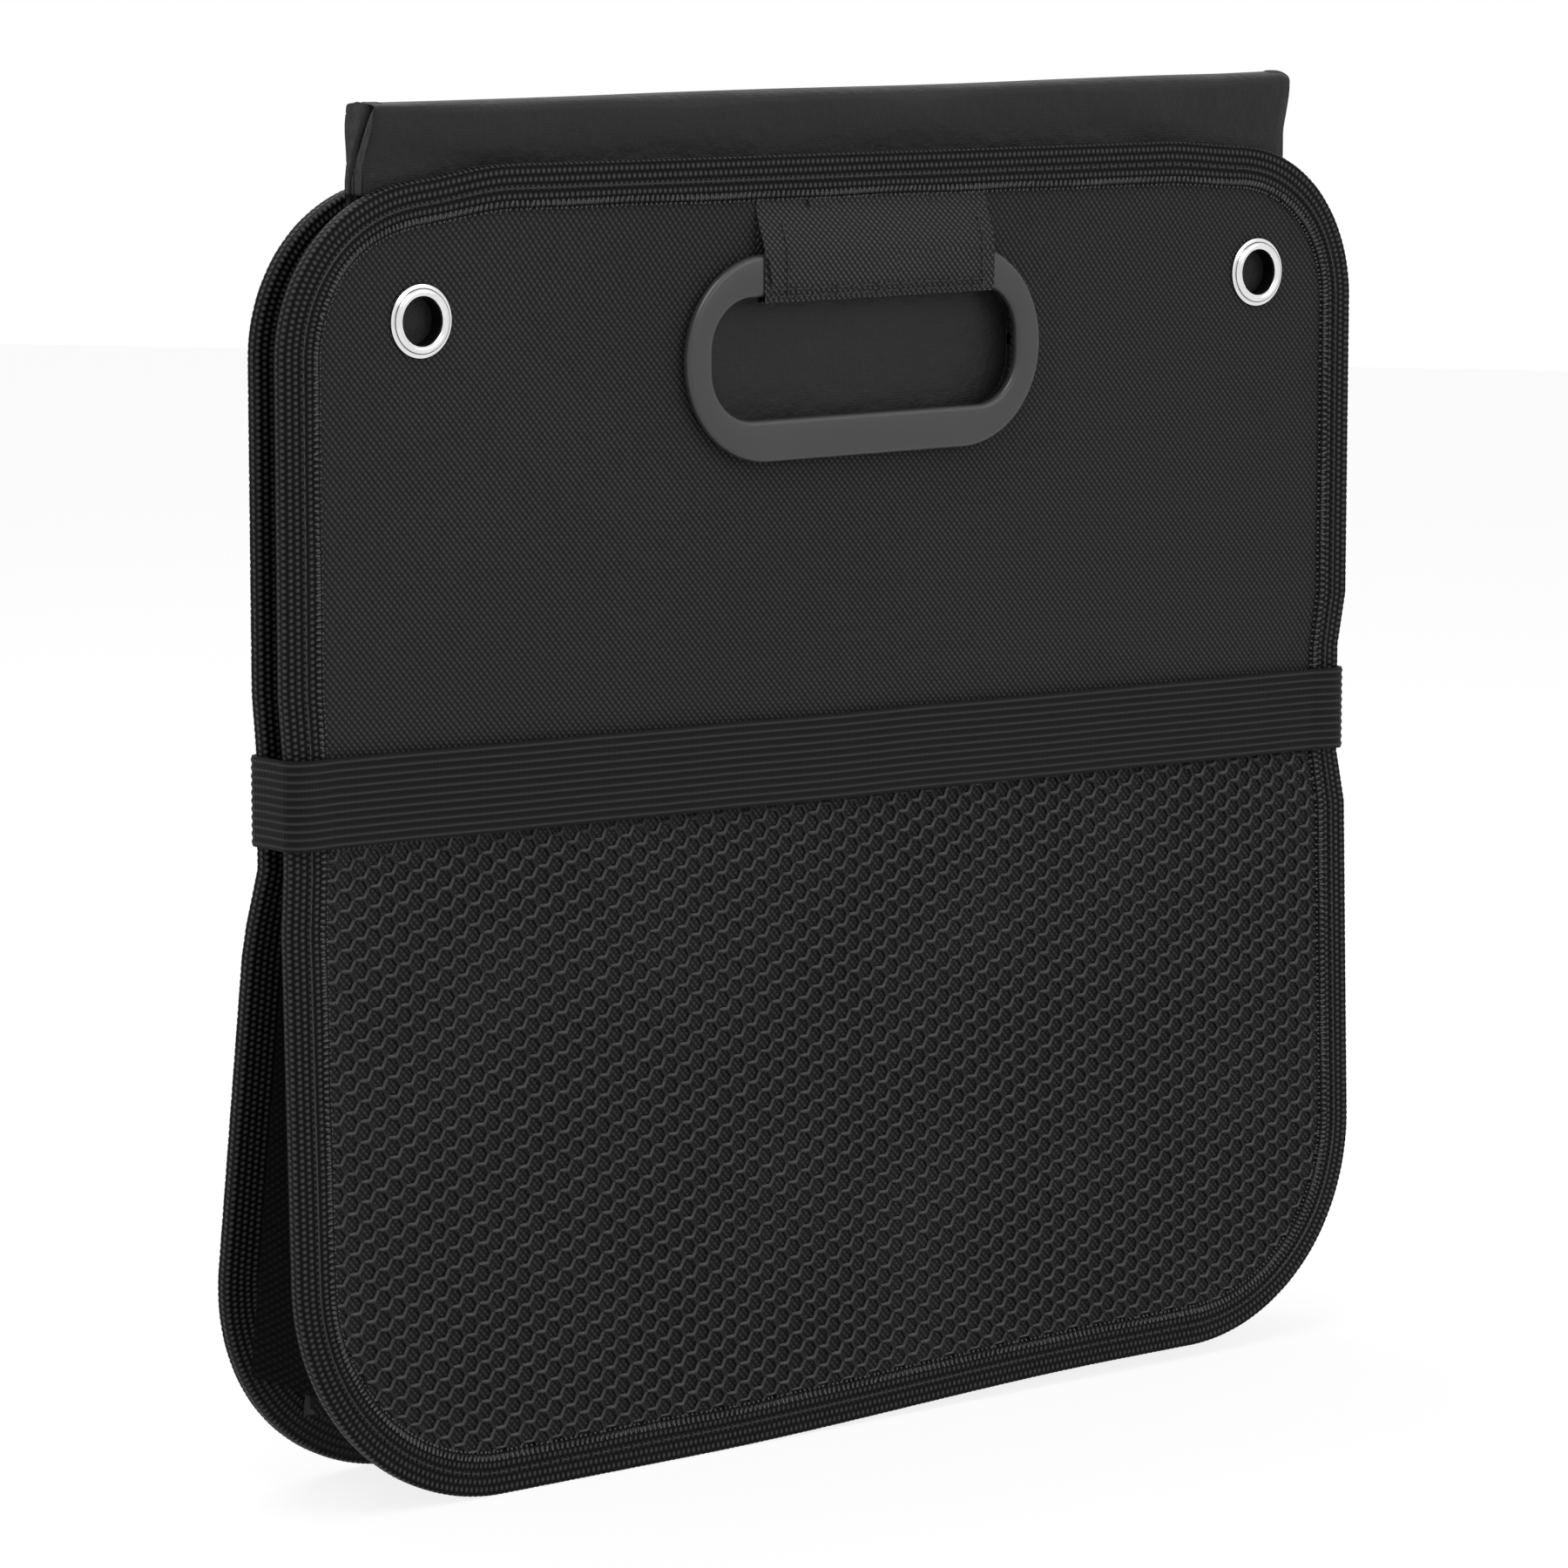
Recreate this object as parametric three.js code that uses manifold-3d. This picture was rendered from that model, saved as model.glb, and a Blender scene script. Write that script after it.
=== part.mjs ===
// A trunk organizer, folded flat and held shut by an elastic band, standing on its lower edges.
// Millimetres, +Z up, the front end panel faces -Y. The origin is at the middle of the footprint.
import * as THREE from "three";
import { mergeVertices } from "three/addons/utils/BufferGeometryUtils.js";
import Module from "manifold-3d";

const wasm = await Module();
wasm.setup();

// End panels: a board between a woven cover and a lining, with tape sewn round the edge.
const panel_width = 318;
const panel_height = 295.5;
const corner_radius = 38; // of the panels' upper corners
const foot_corner_radius = 54; // of the lower corners
const cover_thickness = 0.4;
const board_thickness = 1.3;
const lining_thickness = 0.3;
const tape_thickness = 0.4;
const tape_width = 9.8;
const tape_nose = 0.5; // room inside the tape's fold, outside the panel's edge
const tape_nose_depth = 0.8; // how deep the fold is rounded
const tape_nose_flat = 1.8; // width of the fold's flattened edge, which the box stands on

// Clearances between things that lie on each other.
const layer_gap = 0.1;
const seat_gap = 0.15;
const tape_gap = 0.45; // between the tape's legs and the panel that they hold
const edge_gap = 0.3;
const net_edge_gap = 0.7; // round the net pocket, inside the tape

// The folded base: two boards in a smooth cloth cover, folded up between the end panels.
const base_side_gap = 21.2; // from the panels' side edges to the base's, about the base's own middle
const fold_rise = 17.2; // how far the folded base stands above the panels
const base_foot = 16; // height of the cloth's lower ends
const base_board_thickness = 1.6;
const base_board_inset = 1.5;
const base_cloth_thickness = 0.25;
const fold_gap = 1.6; // between the two halves of the base where they are pressed together
const fold_half_thickness = 5.2; // of the loose fold that stands above the panels
const fold_neck = 0.5; // how far above the panels' top edge the fold starts to open
const fold_shoulder = 4.2; // how far below its crest the fold is thickest
const fold_crest_round = 1.4;

// Eyelets in the panels' upper corners.
const eyelet_side_inset = 34.25;
const eyelet_drop = 30.5; // below the panels' top edge
const eyelet_outer_radius = 8.3;
const eyelet_bore_radius = 5.3;
const eyelet_wall = 0.5;
const eyelet_rim_height = 1.4;
const eyelet_rim_thickness = 0.35;
const eyelet_roll_width = 2.1;
const washer_thickness = 0.35;
const washer_radius = 8;

// Handle: a flat plastic ring in a strap that is sewn in at the top edge, in front of a hand cut-out.
const handle_offset = 3; // the handle and the eyelets sit this far to the right of the middle
const ring_length = 105.6;
const ring_height = 47.5;
const ring_bar = 9.8;
const ring_end_bar = 7.3; // its round ends are slimmer than its long bars
const ring_thickness = 2.6;
const ring_inner_radius = 11.6;
const ring_bevel = 0.8;
const ring_drop = 43.4; // of the ring's middle, below the panels' top edge
const cutout_margin = 0.6; // the cut-out in the panel is this much larger than the ring's opening
const strap_width = 68.8;
const strap_offset = 3.5; // of the strap, from the middle of the ring
const strap_thickness = 0.4;
const strap_slack = 0.8; // how far the loop hangs below the ring's upper bar
const strap_fold_radius = 0.28; // at the loop's lower corners

// Net pocket on the lower half of the front panel.
const net_thickness = 0.4;
const net_stand_off = 0.4;
const net_top_drop = 8.8; // of the net's top edge, below the band's middle
const net_cell = 20.4; // across the flats, from one opening's middle to the next
const net_strand = 4.2;
const hem_height = 13;
const hem_thickness = 0.7;

// Elastic band round the folded box.
const band_height = 20;
const band_thickness = 0.7;
const band_rib_depth = 0.4;
const band_ribs = 11;
const band_centre_height = 158.8;
const band_slope = -0.0145; // it sits a little lower at the right
const band_corner_lift = 2.5; // how far the band's bow stands off the panels' edges
const band_corner_turn = 1.5; // how far it goes round them before it runs straight across

// How the folded box is bent: the panels lie together above the band and part below it.
const bend_soft_length = 20; // the back panel turns over this height, then runs straight
const front_slope = 0.03;
const back_slope = 0.147;
const back_soft_spread = 2.1;
const edge_squeeze = 0.05; // share of their thickness that the panels' side edges are pressed by
const squeeze_reach = 12;
const band_bite_left = 1;
const band_bite_right = 2.5;
const bite_flat = 13; // above and below the band's middle, pressed evenly
const bite_reach = 26; // above and below the band's middle, where the bite ends
const bite_width = 38; // in from the panel's side edges

// Folded side walls: one pleat at each side, between the panels.
const wall_thickness = 0.35;
const wall_seam_inset = 8.8; // from the panels' side edges, on the tape's inner leg
const wall_foot = 32;
const wall_foot_slope = 0.45;
const wall_top_drop = 34; // of its outer edge, below the panels' top edge
const wall_top_slope = 0.8;

const corner_steps = 5;
const round_steps = 18;

// Depths from the middle plane, the same for the front (towards -Y) and the back (towards +Y).
const underside_inner = fold_gap / 2;
const underside_outer = underside_inner + base_cloth_thickness;
const base_board_inner = underside_outer + layer_gap;
const base_board_outer = base_board_inner + base_board_thickness;
const base_cover_inner = base_board_outer + layer_gap;
const base_cover_outer = base_cover_inner + base_cloth_thickness;
const tape_inner = base_cover_outer + seat_gap;
const panel_inner = tape_inner + tape_thickness + tape_gap;
const lining_outer = panel_inner + lining_thickness;
const board_inner = lining_outer + layer_gap;
const board_outer = board_inner + board_thickness;
const cover_inner = board_outer + layer_gap;
const cover_outer = cover_inner + cover_thickness;
const tape_outer = cover_outer + tape_gap + tape_thickness;

const half_width = panel_width / 2;
const bend_height = band_centre_height - bite_flat;
const panel_edge_inset = tape_thickness + tape_gap;
const base_width = panel_width - 2 * base_side_gap;
const base_height = panel_height + fold_rise;
const base_left = handle_offset - base_width / 2;
const base_right = handle_offset + base_width / 2;
const eyelet_height = panel_height - eyelet_drop;
const eyelet_pitch = panel_width - 2 * eyelet_side_inset;
const eyelet_places = [handle_offset - eyelet_pitch / 2, handle_offset + eyelet_pitch / 2];
const eyelet_barrel_radius = eyelet_bore_radius + eyelet_wall;
const ring_centre_height = panel_height - ring_drop;
const net_top = band_centre_height - net_top_drop;

const colours = {
  cover: { color: 0x2c2c2d, roughness: 0.85, metalness: 0 },
  tape: { color: 0x232323, roughness: 0.9, metalness: 0 },
  lining: { color: 0x303031, roughness: 0.6, metalness: 0 },
  board: { color: 0x4a4640, roughness: 0.9, metalness: 0 },
  net: { color: 0x3a3a3a, roughness: 0.6, metalness: 0 },
  elastic: { color: 0x1c1c1c, roughness: 0.8, metalness: 0 },
  ring: { color: 0x4b4b4b, roughness: 0.4, metalness: 0 },
  nickel: { color: 0xc9cacb, roughness: 0.2, metalness: 1 },
};

const organizer = new THREE.Group();

function addMesh(name, geometry, finish, parent = organizer) {
  const mesh = new THREE.Mesh(geometry, new THREE.MeshStandardMaterial(colours[finish]));
  mesh.name = name;
  parent.add(mesh);
  return mesh;
}

const clamp = (value) => Math.min(1, Math.max(0, value));

// How far a panel has moved away from the middle plane at a height, on the front or the back.
function spread(side, z) {
  const below = Math.max(0, bend_height - z);
  if (side === "front") return -front_slope * below;
  return back_slope * below + back_soft_spread * clamp(below / bend_soft_length);
}

// How far the band presses a side edge inwards at a height.
function bite(x, z) {
  const depth = x > 0 ? band_bite_right : band_bite_left;
  const from_band = Math.abs(z - band_centre_height);
  const near_band = clamp((bite_reach - from_band) / (bite_reach - bite_flat));
  const near_edge = clamp((Math.abs(x) - (half_width - bite_width)) / bite_width);
  return Math.sign(x) * depth * near_band * near_edge;
}

// Squeeze of the side edges as a share of the depth at that place.
function squeeze(x) {
  return 1 - edge_squeeze * clamp((Math.abs(x) - (half_width - squeeze_reach)) / squeeze_reach);
}

// Bends a flat geometry to the shape of the folded box.
function settle(geometry, side) {
  const p = geometry.getAttribute("position");
  for (let i = 0; i < p.count; i++) {
    const [x, y, z] = [p.getX(i), p.getY(i), p.getZ(i)];
    p.setXYZ(i, x - bite(x, z), y * squeeze(x) + spread(side, z), z);
  }
  return geometry;
}

// Heights at which a cloth that follows the panels turns, between two limits.
function spreadRows(low, high) {
  return [bend_height - bend_soft_length, bend_height].filter((z) => z > low && z < high);
}

// Heights at which a sheet that the band also presses needs a row of corners.
function bendRows(low, high) {
  const bites = [-bite_reach, bite_flat, bite_reach].map((away) => band_centre_height + away);
  const rows = [...spreadRows(low, high), ...bites.filter((z) => z > low && z < high)];
  return rows.sort((a, b) => a - b);
}

// Rows of a sheet with rounded corners: each has its height and half its width.
function roundedRows(inset) {
  const cornerRows = (corner) => {
    const rows = [];
    for (let i = 0; i <= corner_steps; i++) {
      const angle = ((Math.PI / 2) * i) / corner_steps;
      const half = half_width - corner + (corner - inset) * Math.sin(angle);
      rows.push({ z: corner - (corner - inset) * Math.cos(angle), half });
    }
    return rows;
  };
  const top = cornerRows(corner_radius).map((row) => ({ ...row, z: panel_height - row.z })).reverse();
  const sides = bendRows(foot_corner_radius, panel_height - corner_radius);
  return [
    ...cornerRows(foot_corner_radius),
    ...sides.map((z) => ({ z, half: half_width - inset })),
    ...top,
  ];
}

// Splits the back of a box along the same diagonals as its front, so that bent layers stay parallel.
function alignDiagonals(geometry) {
  const index = geometry.index.array;
  const back = geometry.groups.find((group) => group.materialIndex === 5);
  for (let i = back.start; i < back.start + back.count; i += 6) {
    const [a, b, d, , c] = index.slice(i, i + 5);
    index.set([a, b, c, a, c, d], i);
  }
}

// A sheet lofted through rows, from depth inner to depth outer on one side of the middle plane.
function sheet(rows, inner, outer, side) {
  const count = rows.length - 1;
  const geometry = new THREE.BoxGeometry(4, count, 1, 4, count, 1);
  alignDiagonals(geometry);
  const p = geometry.getAttribute("position");
  const direction = side === "front" ? -1 : 1;
  for (let i = 0; i < p.count; i++) {
    const row = rows[Math.round(p.getY(i) + count / 2)];
    const bend_x = Math.min(half_width - squeeze_reach, row.half - squeeze_reach / 4);
    const columns = [-row.half, -bend_x, 0, bend_x, row.half];
    const towards_viewer = p.getZ(i) > 0;
    const depth = towards_viewer === (side === "front") ? outer : inner;
    p.setXYZ(i, columns[Math.round(p.getX(i) + 2)], direction * depth, row.z);
  }
  return settle(geometry, side);
}

function bareGeometry(geometry) {
  geometry.deleteAttribute("normal");
  geometry.deleteAttribute("uv");
  return mergeVertices(geometry, 1e-4);
}

function toSolid(geometry) {
  const bare = bareGeometry(geometry);
  return new wasm.Manifold(
    new wasm.Mesh({
      numProp: 3,
      vertProperties: bare.getAttribute("position").array,
      triVerts: new Uint32Array(bare.index.array),
    }),
  );
}

function toGeometry(solid) {
  const mesh = solid.getMesh();
  return new THREE.BufferGeometry()
    .setAttribute("position", new THREE.BufferAttribute(mesh.vertProperties, 3))
    .setIndex(new THREE.BufferAttribute(mesh.triVerts, 1));
}

function cut(geometry, cutters) {
  let solid = toSolid(geometry);
  for (const cutter of cutters) solid = solid.subtract(toSolid(cutter));
  return toGeometry(solid);
}

// An outline in X and Z, extruded along Y between two places.
function extrudeAlongY(shape, from, to, bevel = 0) {
  const geometry = new THREE.ExtrudeGeometry(shape, {
    depth: to - from - 2 * bevel,
    curveSegments: corner_steps,
    bevelEnabled: bevel > 0,
    bevelThickness: bevel,
    bevelSize: bevel,
    bevelOffset: -bevel,
    bevelSegments: 2,
  });
  return geometry.rotateX(Math.PI / 2).translate(0, to - bevel, 0);
}

// An outline in Y and Z, extruded along X between two places.
function extrudeAlongX(shape, from, to) {
  const geometry = new THREE.ExtrudeGeometry(shape, { depth: to - from, bevelEnabled: false });
  return geometry.rotateX(Math.PI / 2).rotateZ(Math.PI / 2).translate(from, 0, 0);
}

// A rectangle with round corners, about a middle.
function roundedOutline(path, middle_x, middle_z, length, height, radius) {
  const [x, z] = [length / 2 - radius, height / 2 - radius];
  path.absarc(middle_x + x, middle_z - z, radius, -Math.PI / 2, 0);
  path.absarc(middle_x + x, middle_z + z, radius, 0, Math.PI / 2);
  path.absarc(middle_x - x, middle_z + z, radius, Math.PI / 2, Math.PI);
  path.absarc(middle_x - x, middle_z - z, radius, Math.PI, Math.PI * 1.5);
  return path;
}

// A closed section carried round a closed path. The section's points are (out, across), and place
// turns a path station and a section point into a position.
function sweptRing(section, stations, place) {
  const far = 1000;
  const profile = [...section, section[0]].map(([out, across]) => new THREE.Vector2(far + out, across));
  const geometry = new THREE.LatheGeometry(profile, stations.length);
  const p = geometry.getAttribute("position");
  for (let i = 0; i < p.count; i++) {
    const turn = Math.atan2(p.getX(i), p.getZ(i)) / (2 * Math.PI);
    const station = Math.round((turn + 1) * stations.length) % stations.length;
    const out = Math.hypot(p.getX(i), p.getZ(i)) - far;
    const { x, y, z } = place(stations[station], out, p.getY(i));
    p.setXYZ(i, x, y, z);
  }
  return bareGeometry(geometry);
}

// Stations round the panel's edge, seen from the front, each with its way outwards and its distance
// from the middle of the turn.
function edgeStations() {
  const stations = [];
  const [low, high] = [foot_corner_radius, panel_height - corner_radius];
  const add = (way, z, radius, angle) => {
    const x = way * (half_width - radius);
    stations.push({ x, z, radius, out_x: Math.cos(angle), out_z: Math.sin(angle) });
  };
  const corner = (way, z, radius, start) => {
    for (let i = 0; i <= corner_steps; i++) add(way, z, radius, start + ((Math.PI / 2) * i) / corner_steps);
  };
  const side = (way, rows) => rows.forEach((z) => add(way, z, corner_radius, way > 0 ? 0 : Math.PI));
  corner(1, low, foot_corner_radius, -Math.PI / 2);
  side(1, bendRows(low, high));
  corner(1, high, corner_radius, 0);
  corner(-1, high, corner_radius, Math.PI / 2);
  side(-1, bendRows(low, high).reverse());
  corner(-1, low, foot_corner_radius, Math.PI);
  return stations;
}

// The binding tape: a folded strip whose two legs hold the panel's edge.
function bindingTape(side) {
  const middle = (side === "front" ? -1 : 1) * (tape_inner + tape_outer) / 2;
  const half = (tape_outer - tape_inner) / 2;
  const deep = tape_nose_depth;
  const flat = tape_nose_flat / 2;
  const round = new THREE.EllipseCurve(-deep, flat, deep, half - flat, Math.PI / 2, 0, true);
  const nose = round.getPoints(3).map((point) => point.toArray());
  const section = [
    [-tape_width, half],
    ...nose,
    ...nose.map(([out, across]) => [out, -across]).reverse(),
    [-tape_width, -half],
    [-tape_width, tape_thickness - half],
    [-tape_nose, tape_thickness - half],
    [-tape_nose, half - tape_thickness],
    [-tape_width, half - tape_thickness],
  ];
  const place = (station, out, across) => ({
    x: station.x + station.out_x * (station.radius + out),
    y: middle + across,
    z: station.z + station.out_z * (station.radius + out),
  });
  return settle(sweptRing(section, edgeStations(), place), side);
}

// The openings through a panel: one for the hand and two for the eyelets.
function panelCutters(side) {
  const reach = 2 * tape_outer;
  const hand = roundedOutline(
    new THREE.Shape(),
    handle_offset,
    ring_centre_height,
    ring_length - 2 * ring_end_bar + 2 * cutout_margin,
    ring_height - 2 * ring_bar + 2 * cutout_margin,
    ring_inner_radius,
  );
  const cutters = [extrudeAlongY(hand, -reach, 0)];
  const radius = eyelet_barrel_radius + layer_gap;
  for (const x of eyelet_places) {
    const hole = new THREE.CylinderGeometry(radius, radius, reach, round_steps);
    cutters.push(hole.translate(x, -reach / 2, eyelet_height));
  }
  if (side === "back") cutters.forEach((cutter) => cutter.rotateZ(Math.PI));
  return cutters;
}

// Rolled eyelet: a barrel through the panel, a roll on the outside and a thin rim round the roll.
function eyelet() {
  const face = cover_outer + layer_gap;
  const rim_face = face + eyelet_rim_thickness;
  const roll = new THREE.EllipseCurve(
    eyelet_bore_radius + eyelet_roll_width / 2,
    rim_face,
    eyelet_roll_width / 2,
    eyelet_rim_height - eyelet_rim_thickness,
    0,
    Math.PI,
  );
  const profile = [
    new THREE.Vector2(eyelet_bore_radius, tape_inner),
    new THREE.Vector2(eyelet_barrel_radius, tape_inner),
    new THREE.Vector2(eyelet_barrel_radius, face),
    new THREE.Vector2(eyelet_outer_radius, face),
    new THREE.Vector2(eyelet_outer_radius, rim_face),
    ...roll.getPoints(5),
    new THREE.Vector2(eyelet_bore_radius, tape_inner),
  ];
  return new THREE.LatheGeometry(profile, round_steps).rotateX(Math.PI);
}

function washer() {
  const inner = eyelet_barrel_radius + layer_gap;
  const outer_face = panel_inner - layer_gap;
  const inner_face = outer_face - washer_thickness;
  const corners = [
    [inner, inner_face],
    [washer_radius - washer_thickness, inner_face],
    [washer_radius, inner_face + washer_thickness / 2],
    [washer_radius, outer_face],
    [inner, outer_face],
    [inner, inner_face],
  ];
  const profile = corners.map(([radius, depth]) => new THREE.Vector2(radius, depth));
  return new THREE.LatheGeometry(profile, round_steps).rotateX(Math.PI);
}

// Depths and heights of the handle, in front of the panel.
const strap_back = cover_outer + layer_gap;
const ring_back = strap_back + strap_thickness + seat_gap;
const ring_front = ring_back + ring_thickness;
const strap_front = ring_front + seat_gap + strap_thickness;
const pivot_depth = strap_back + strap_thickness;
const pivot_height = panel_height - tape_width - edge_gap - strap_thickness;
const ring_top = ring_centre_height + ring_height / 2;

function handleRing() {
  const shape = roundedOutline(
    new THREE.Shape(),
    0,
    ring_centre_height,
    ring_length,
    ring_height,
    ring_height / 2 - seat_gap,
  );
  const opening = roundedOutline(
    new THREE.Path(),
    0,
    ring_centre_height,
    ring_length - 2 * ring_end_bar,
    ring_height - 2 * ring_bar,
    ring_inner_radius,
  );
  shape.holes.push(opening);
  return extrudeAlongY(shape, -ring_front, -ring_back, ring_bevel);
}

// The strap: a flat loop round the ring's upper bar whose two layers meet at the sewn edge.
function handleStrap() {
  const fold = strap_fold_radius;
  const inside_bottom = ring_top - ring_bar - seat_gap - strap_slack;
  const bottom = inside_bottom - strap_thickness;
  const slope_start = ring_top + fold;
  const outline = new THREE.Shape();
  outline.moveTo(-strap_back, bottom + fold);
  outline.absarc(-pivot_depth, pivot_height, strap_thickness, 0, Math.PI);
  outline.lineTo(-strap_front, slope_start);
  outline.lineTo(-strap_front, bottom + fold);
  outline.lineTo(-strap_front + fold, bottom);
  outline.lineTo(-strap_back - fold, bottom);
  outline.closePath();
  const inside = new THREE.Path();
  inside.moveTo(-strap_back - strap_thickness, inside_bottom);
  inside.lineTo(-strap_front + strap_thickness, inside_bottom);
  inside.lineTo(-strap_front + strap_thickness, slope_start - layer_gap);
  inside.lineTo(-strap_back - strap_thickness, pivot_height - 2 * strap_thickness);
  inside.closePath();
  outline.holes.push(inside);
  return extrudeAlongX(outline, strap_offset - strap_width / 2, strap_offset + strap_width / 2);
}

// A hexagonal net: one thin sheet with openings, its foot and sides held in the tape.
function netPocket() {
  const foot = tape_width + net_edge_gap;
  const side_x = half_width - foot;
  const radius = foot_corner_radius - foot;
  const shape = new THREE.Shape();
  shape.moveTo(side_x, net_top);
  for (const z of bendRows(foot, net_top).reverse()) shape.lineTo(side_x, z);
  shape.absarc(side_x - radius, foot + radius, radius, 0, -Math.PI / 2, true);
  shape.absarc(radius - side_x, foot + radius, radius, -Math.PI / 2, -Math.PI, true);
  for (const z of bendRows(foot, net_top)) shape.lineTo(-side_x, z);
  shape.lineTo(-side_x, net_top);
  shape.closePath();

  const hexagon_radius = (net_cell - net_strand) / Math.sqrt(3);
  const column_pitch = (net_cell * Math.sqrt(3)) / 2;
  const inside = (x, z) => {
    const over_x = Math.max(0, Math.abs(x) - (side_x - radius));
    const over_z = Math.max(0, foot + radius - z);
    return Math.hypot(over_x, over_z) < radius - net_strand / 2 && z < net_top - net_strand / 2;
  };
  const columns = Math.ceil(side_x / column_pitch);
  for (let column = -columns; column <= columns; column++) {
    const lift = Math.abs(column) % 2 ? net_cell / 2 : 0;
    for (let z = foot + lift; z < net_top; z += net_cell) {
      const corners = [];
      for (let i = 0; i < 6; i++) {
        const angle = (Math.PI / 3) * i;
        const x = column * column_pitch + hexagon_radius * Math.cos(angle);
        corners.push(new THREE.Vector2(x, z + hexagon_radius * Math.sin(angle)));
      }
      if (corners.every((corner) => inside(corner.x, corner.y))) shape.holes.push(new THREE.Path(corners));
    }
  }
  const near = cover_outer + net_stand_off;
  return settle(extrudeAlongY(shape, -near - net_thickness, -near), "front");
}

const hem_inner = cover_outer + seat_gap + layer_gap;
const hem_outer = hem_inner + hem_thickness;

function pocketHem() {
  const half = half_width - tape_width - edge_gap;
  const foot = net_top + edge_gap;
  return sheet([{ z: foot, half }, { z: foot + hem_height, half }], hem_inner, hem_outer, "front");
}

// Half the thickness of the fold at the top of the base, as a curve from its neck to its crest.
function foldCurve(neck_half, crest_height, half_thickness) {
  const neck = panel_height + fold_neck;
  const widest = crest_height - fold_shoulder;
  const middle = (neck + widest) / 2;
  const path = new THREE.Path();
  path.moveTo(neck_half, neck);
  path.bezierCurveTo(neck_half, middle, half_thickness, middle, half_thickness, widest);
  const round = crest_height - fold_crest_round;
  path.bezierCurveTo(half_thickness, round, half_thickness / 2, crest_height, 0, crest_height);
  return path.getPoints(corner_steps).map((point) => [point.x, point.y]);
}

// A cloth that goes up behind the front panel, over the top and down in front of the back panel.
// Each half follows its own panel where the panels part.
function foldedSheet(outer_curve, inner_curve, foot) {
  const legs = spreadRows(foot, panel_height).reverse();
  const down = (half, side) => {
    const sign = side === "front" ? -1 : 1;
    return [...legs, foot].map((z) => new THREE.Vector2(sign * half + spread(side, z), z));
  };
  const over = (curve) => {
    const rise = curve.map(([half, z]) => new THREE.Vector2(-half, z));
    const fall = curve.slice(0, -1).reverse();
    return [...rise, ...fall.map(([half, z]) => new THREE.Vector2(half, z))];
  };
  const outer_half = outer_curve[0][0];
  const inner_half = inner_curve[0][0];
  const outline = [
    ...down(outer_half, "front").reverse(),
    ...over(outer_curve),
    ...down(outer_half, "back"),
    ...down(inner_half, "back").reverse(),
    ...over(inner_curve).reverse(),
    ...down(inner_half, "front"),
  ];
  return new THREE.Shape(outline);
}

function baseCover() {
  const outer = foldCurve(base_cover_outer, base_height, fold_half_thickness);
  const inner = foldCurve(
    base_cover_inner,
    base_height - base_cloth_thickness,
    fold_half_thickness - base_cloth_thickness,
  );
  return extrudeAlongX(foldedSheet(outer, inner, base_foot), base_left, base_right);
}

const board_top = base_height - 3 * fold_half_thickness;

function baseUnderside() {
  const crest = board_top + base_board_inset;
  const outer = [[underside_outer, crest - base_cloth_thickness], [underside_inner, crest], [0, crest]];
  const inner = [[underside_inner, crest - 2 * base_cloth_thickness], [0, crest - base_cloth_thickness]];
  const outline = foldedSheet(outer, inner, base_foot);
  return extrudeAlongX(outline, base_left + base_board_inset, base_right - base_board_inset);
}

function baseBoard(side) {
  const sign = side === "front" ? -1 : 1;
  const foot = base_foot + base_board_inset;
  const rows = [foot, ...spreadRows(foot, board_top), board_top];
  const face = (depth) => rows.map((z) => new THREE.Vector2(sign * depth + spread(side, z), z));
  const outline = new THREE.Shape([...face(base_board_inner), ...face(base_board_outer).reverse()]);
  return extrudeAlongX(outline, base_left + base_board_inset, base_right - base_board_inset);
}

// A side wall's pleat: a V in plan between the panels' side edges, its fold beside the base.
function sideWall(direction) {
  const outer_x = half_width - wall_seam_inset;
  const fold_x = (direction < 0 ? -base_left : base_right) + edge_gap + wall_thickness;
  const mouth = tape_inner * (1 - edge_squeeze) - seat_gap;
  const inner_mouth = mouth - wall_thickness;
  const shape = new THREE.Shape([
    new THREE.Vector2(outer_x, -mouth),
    new THREE.Vector2(outer_x, -inner_mouth),
    new THREE.Vector2(fold_x + 2 * wall_thickness, 0),
    new THREE.Vector2(outer_x, inner_mouth),
    new THREE.Vector2(outer_x, mouth),
    new THREE.Vector2(fold_x, wall_thickness / 2),
    new THREE.Vector2(fold_x, -wall_thickness / 2),
  ]);
  const top = panel_height - wall_top_drop;
  const rows = [wall_foot, ...bendRows(wall_foot, top), top];
  const count = rows.length - 1;
  const geometry = new THREE.ExtrudeGeometry(shape, { depth: count, steps: count, bevelEnabled: false });
  geometry.rotateZ(direction < 0 ? Math.PI : 0);
  const p = geometry.getAttribute("position");
  for (let i = 0; i < p.count; i++) {
    const [x, y, row] = [p.getX(i), p.getY(i), Math.round(p.getZ(i))];
    const inwards = outer_x - Math.abs(x);
    let z = rows[row];
    if (row === 0) z -= wall_foot_slope * inwards;
    if (row === count) z += wall_top_slope * inwards;
    const share = (y + mouth) / (2 * mouth);
    const drift = spread("front", z) * (1 - share) + spread("back", z) * share;
    p.setXYZ(i, x - bite(x, z), y + drift, z);
  }
  return geometry;
}

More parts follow.
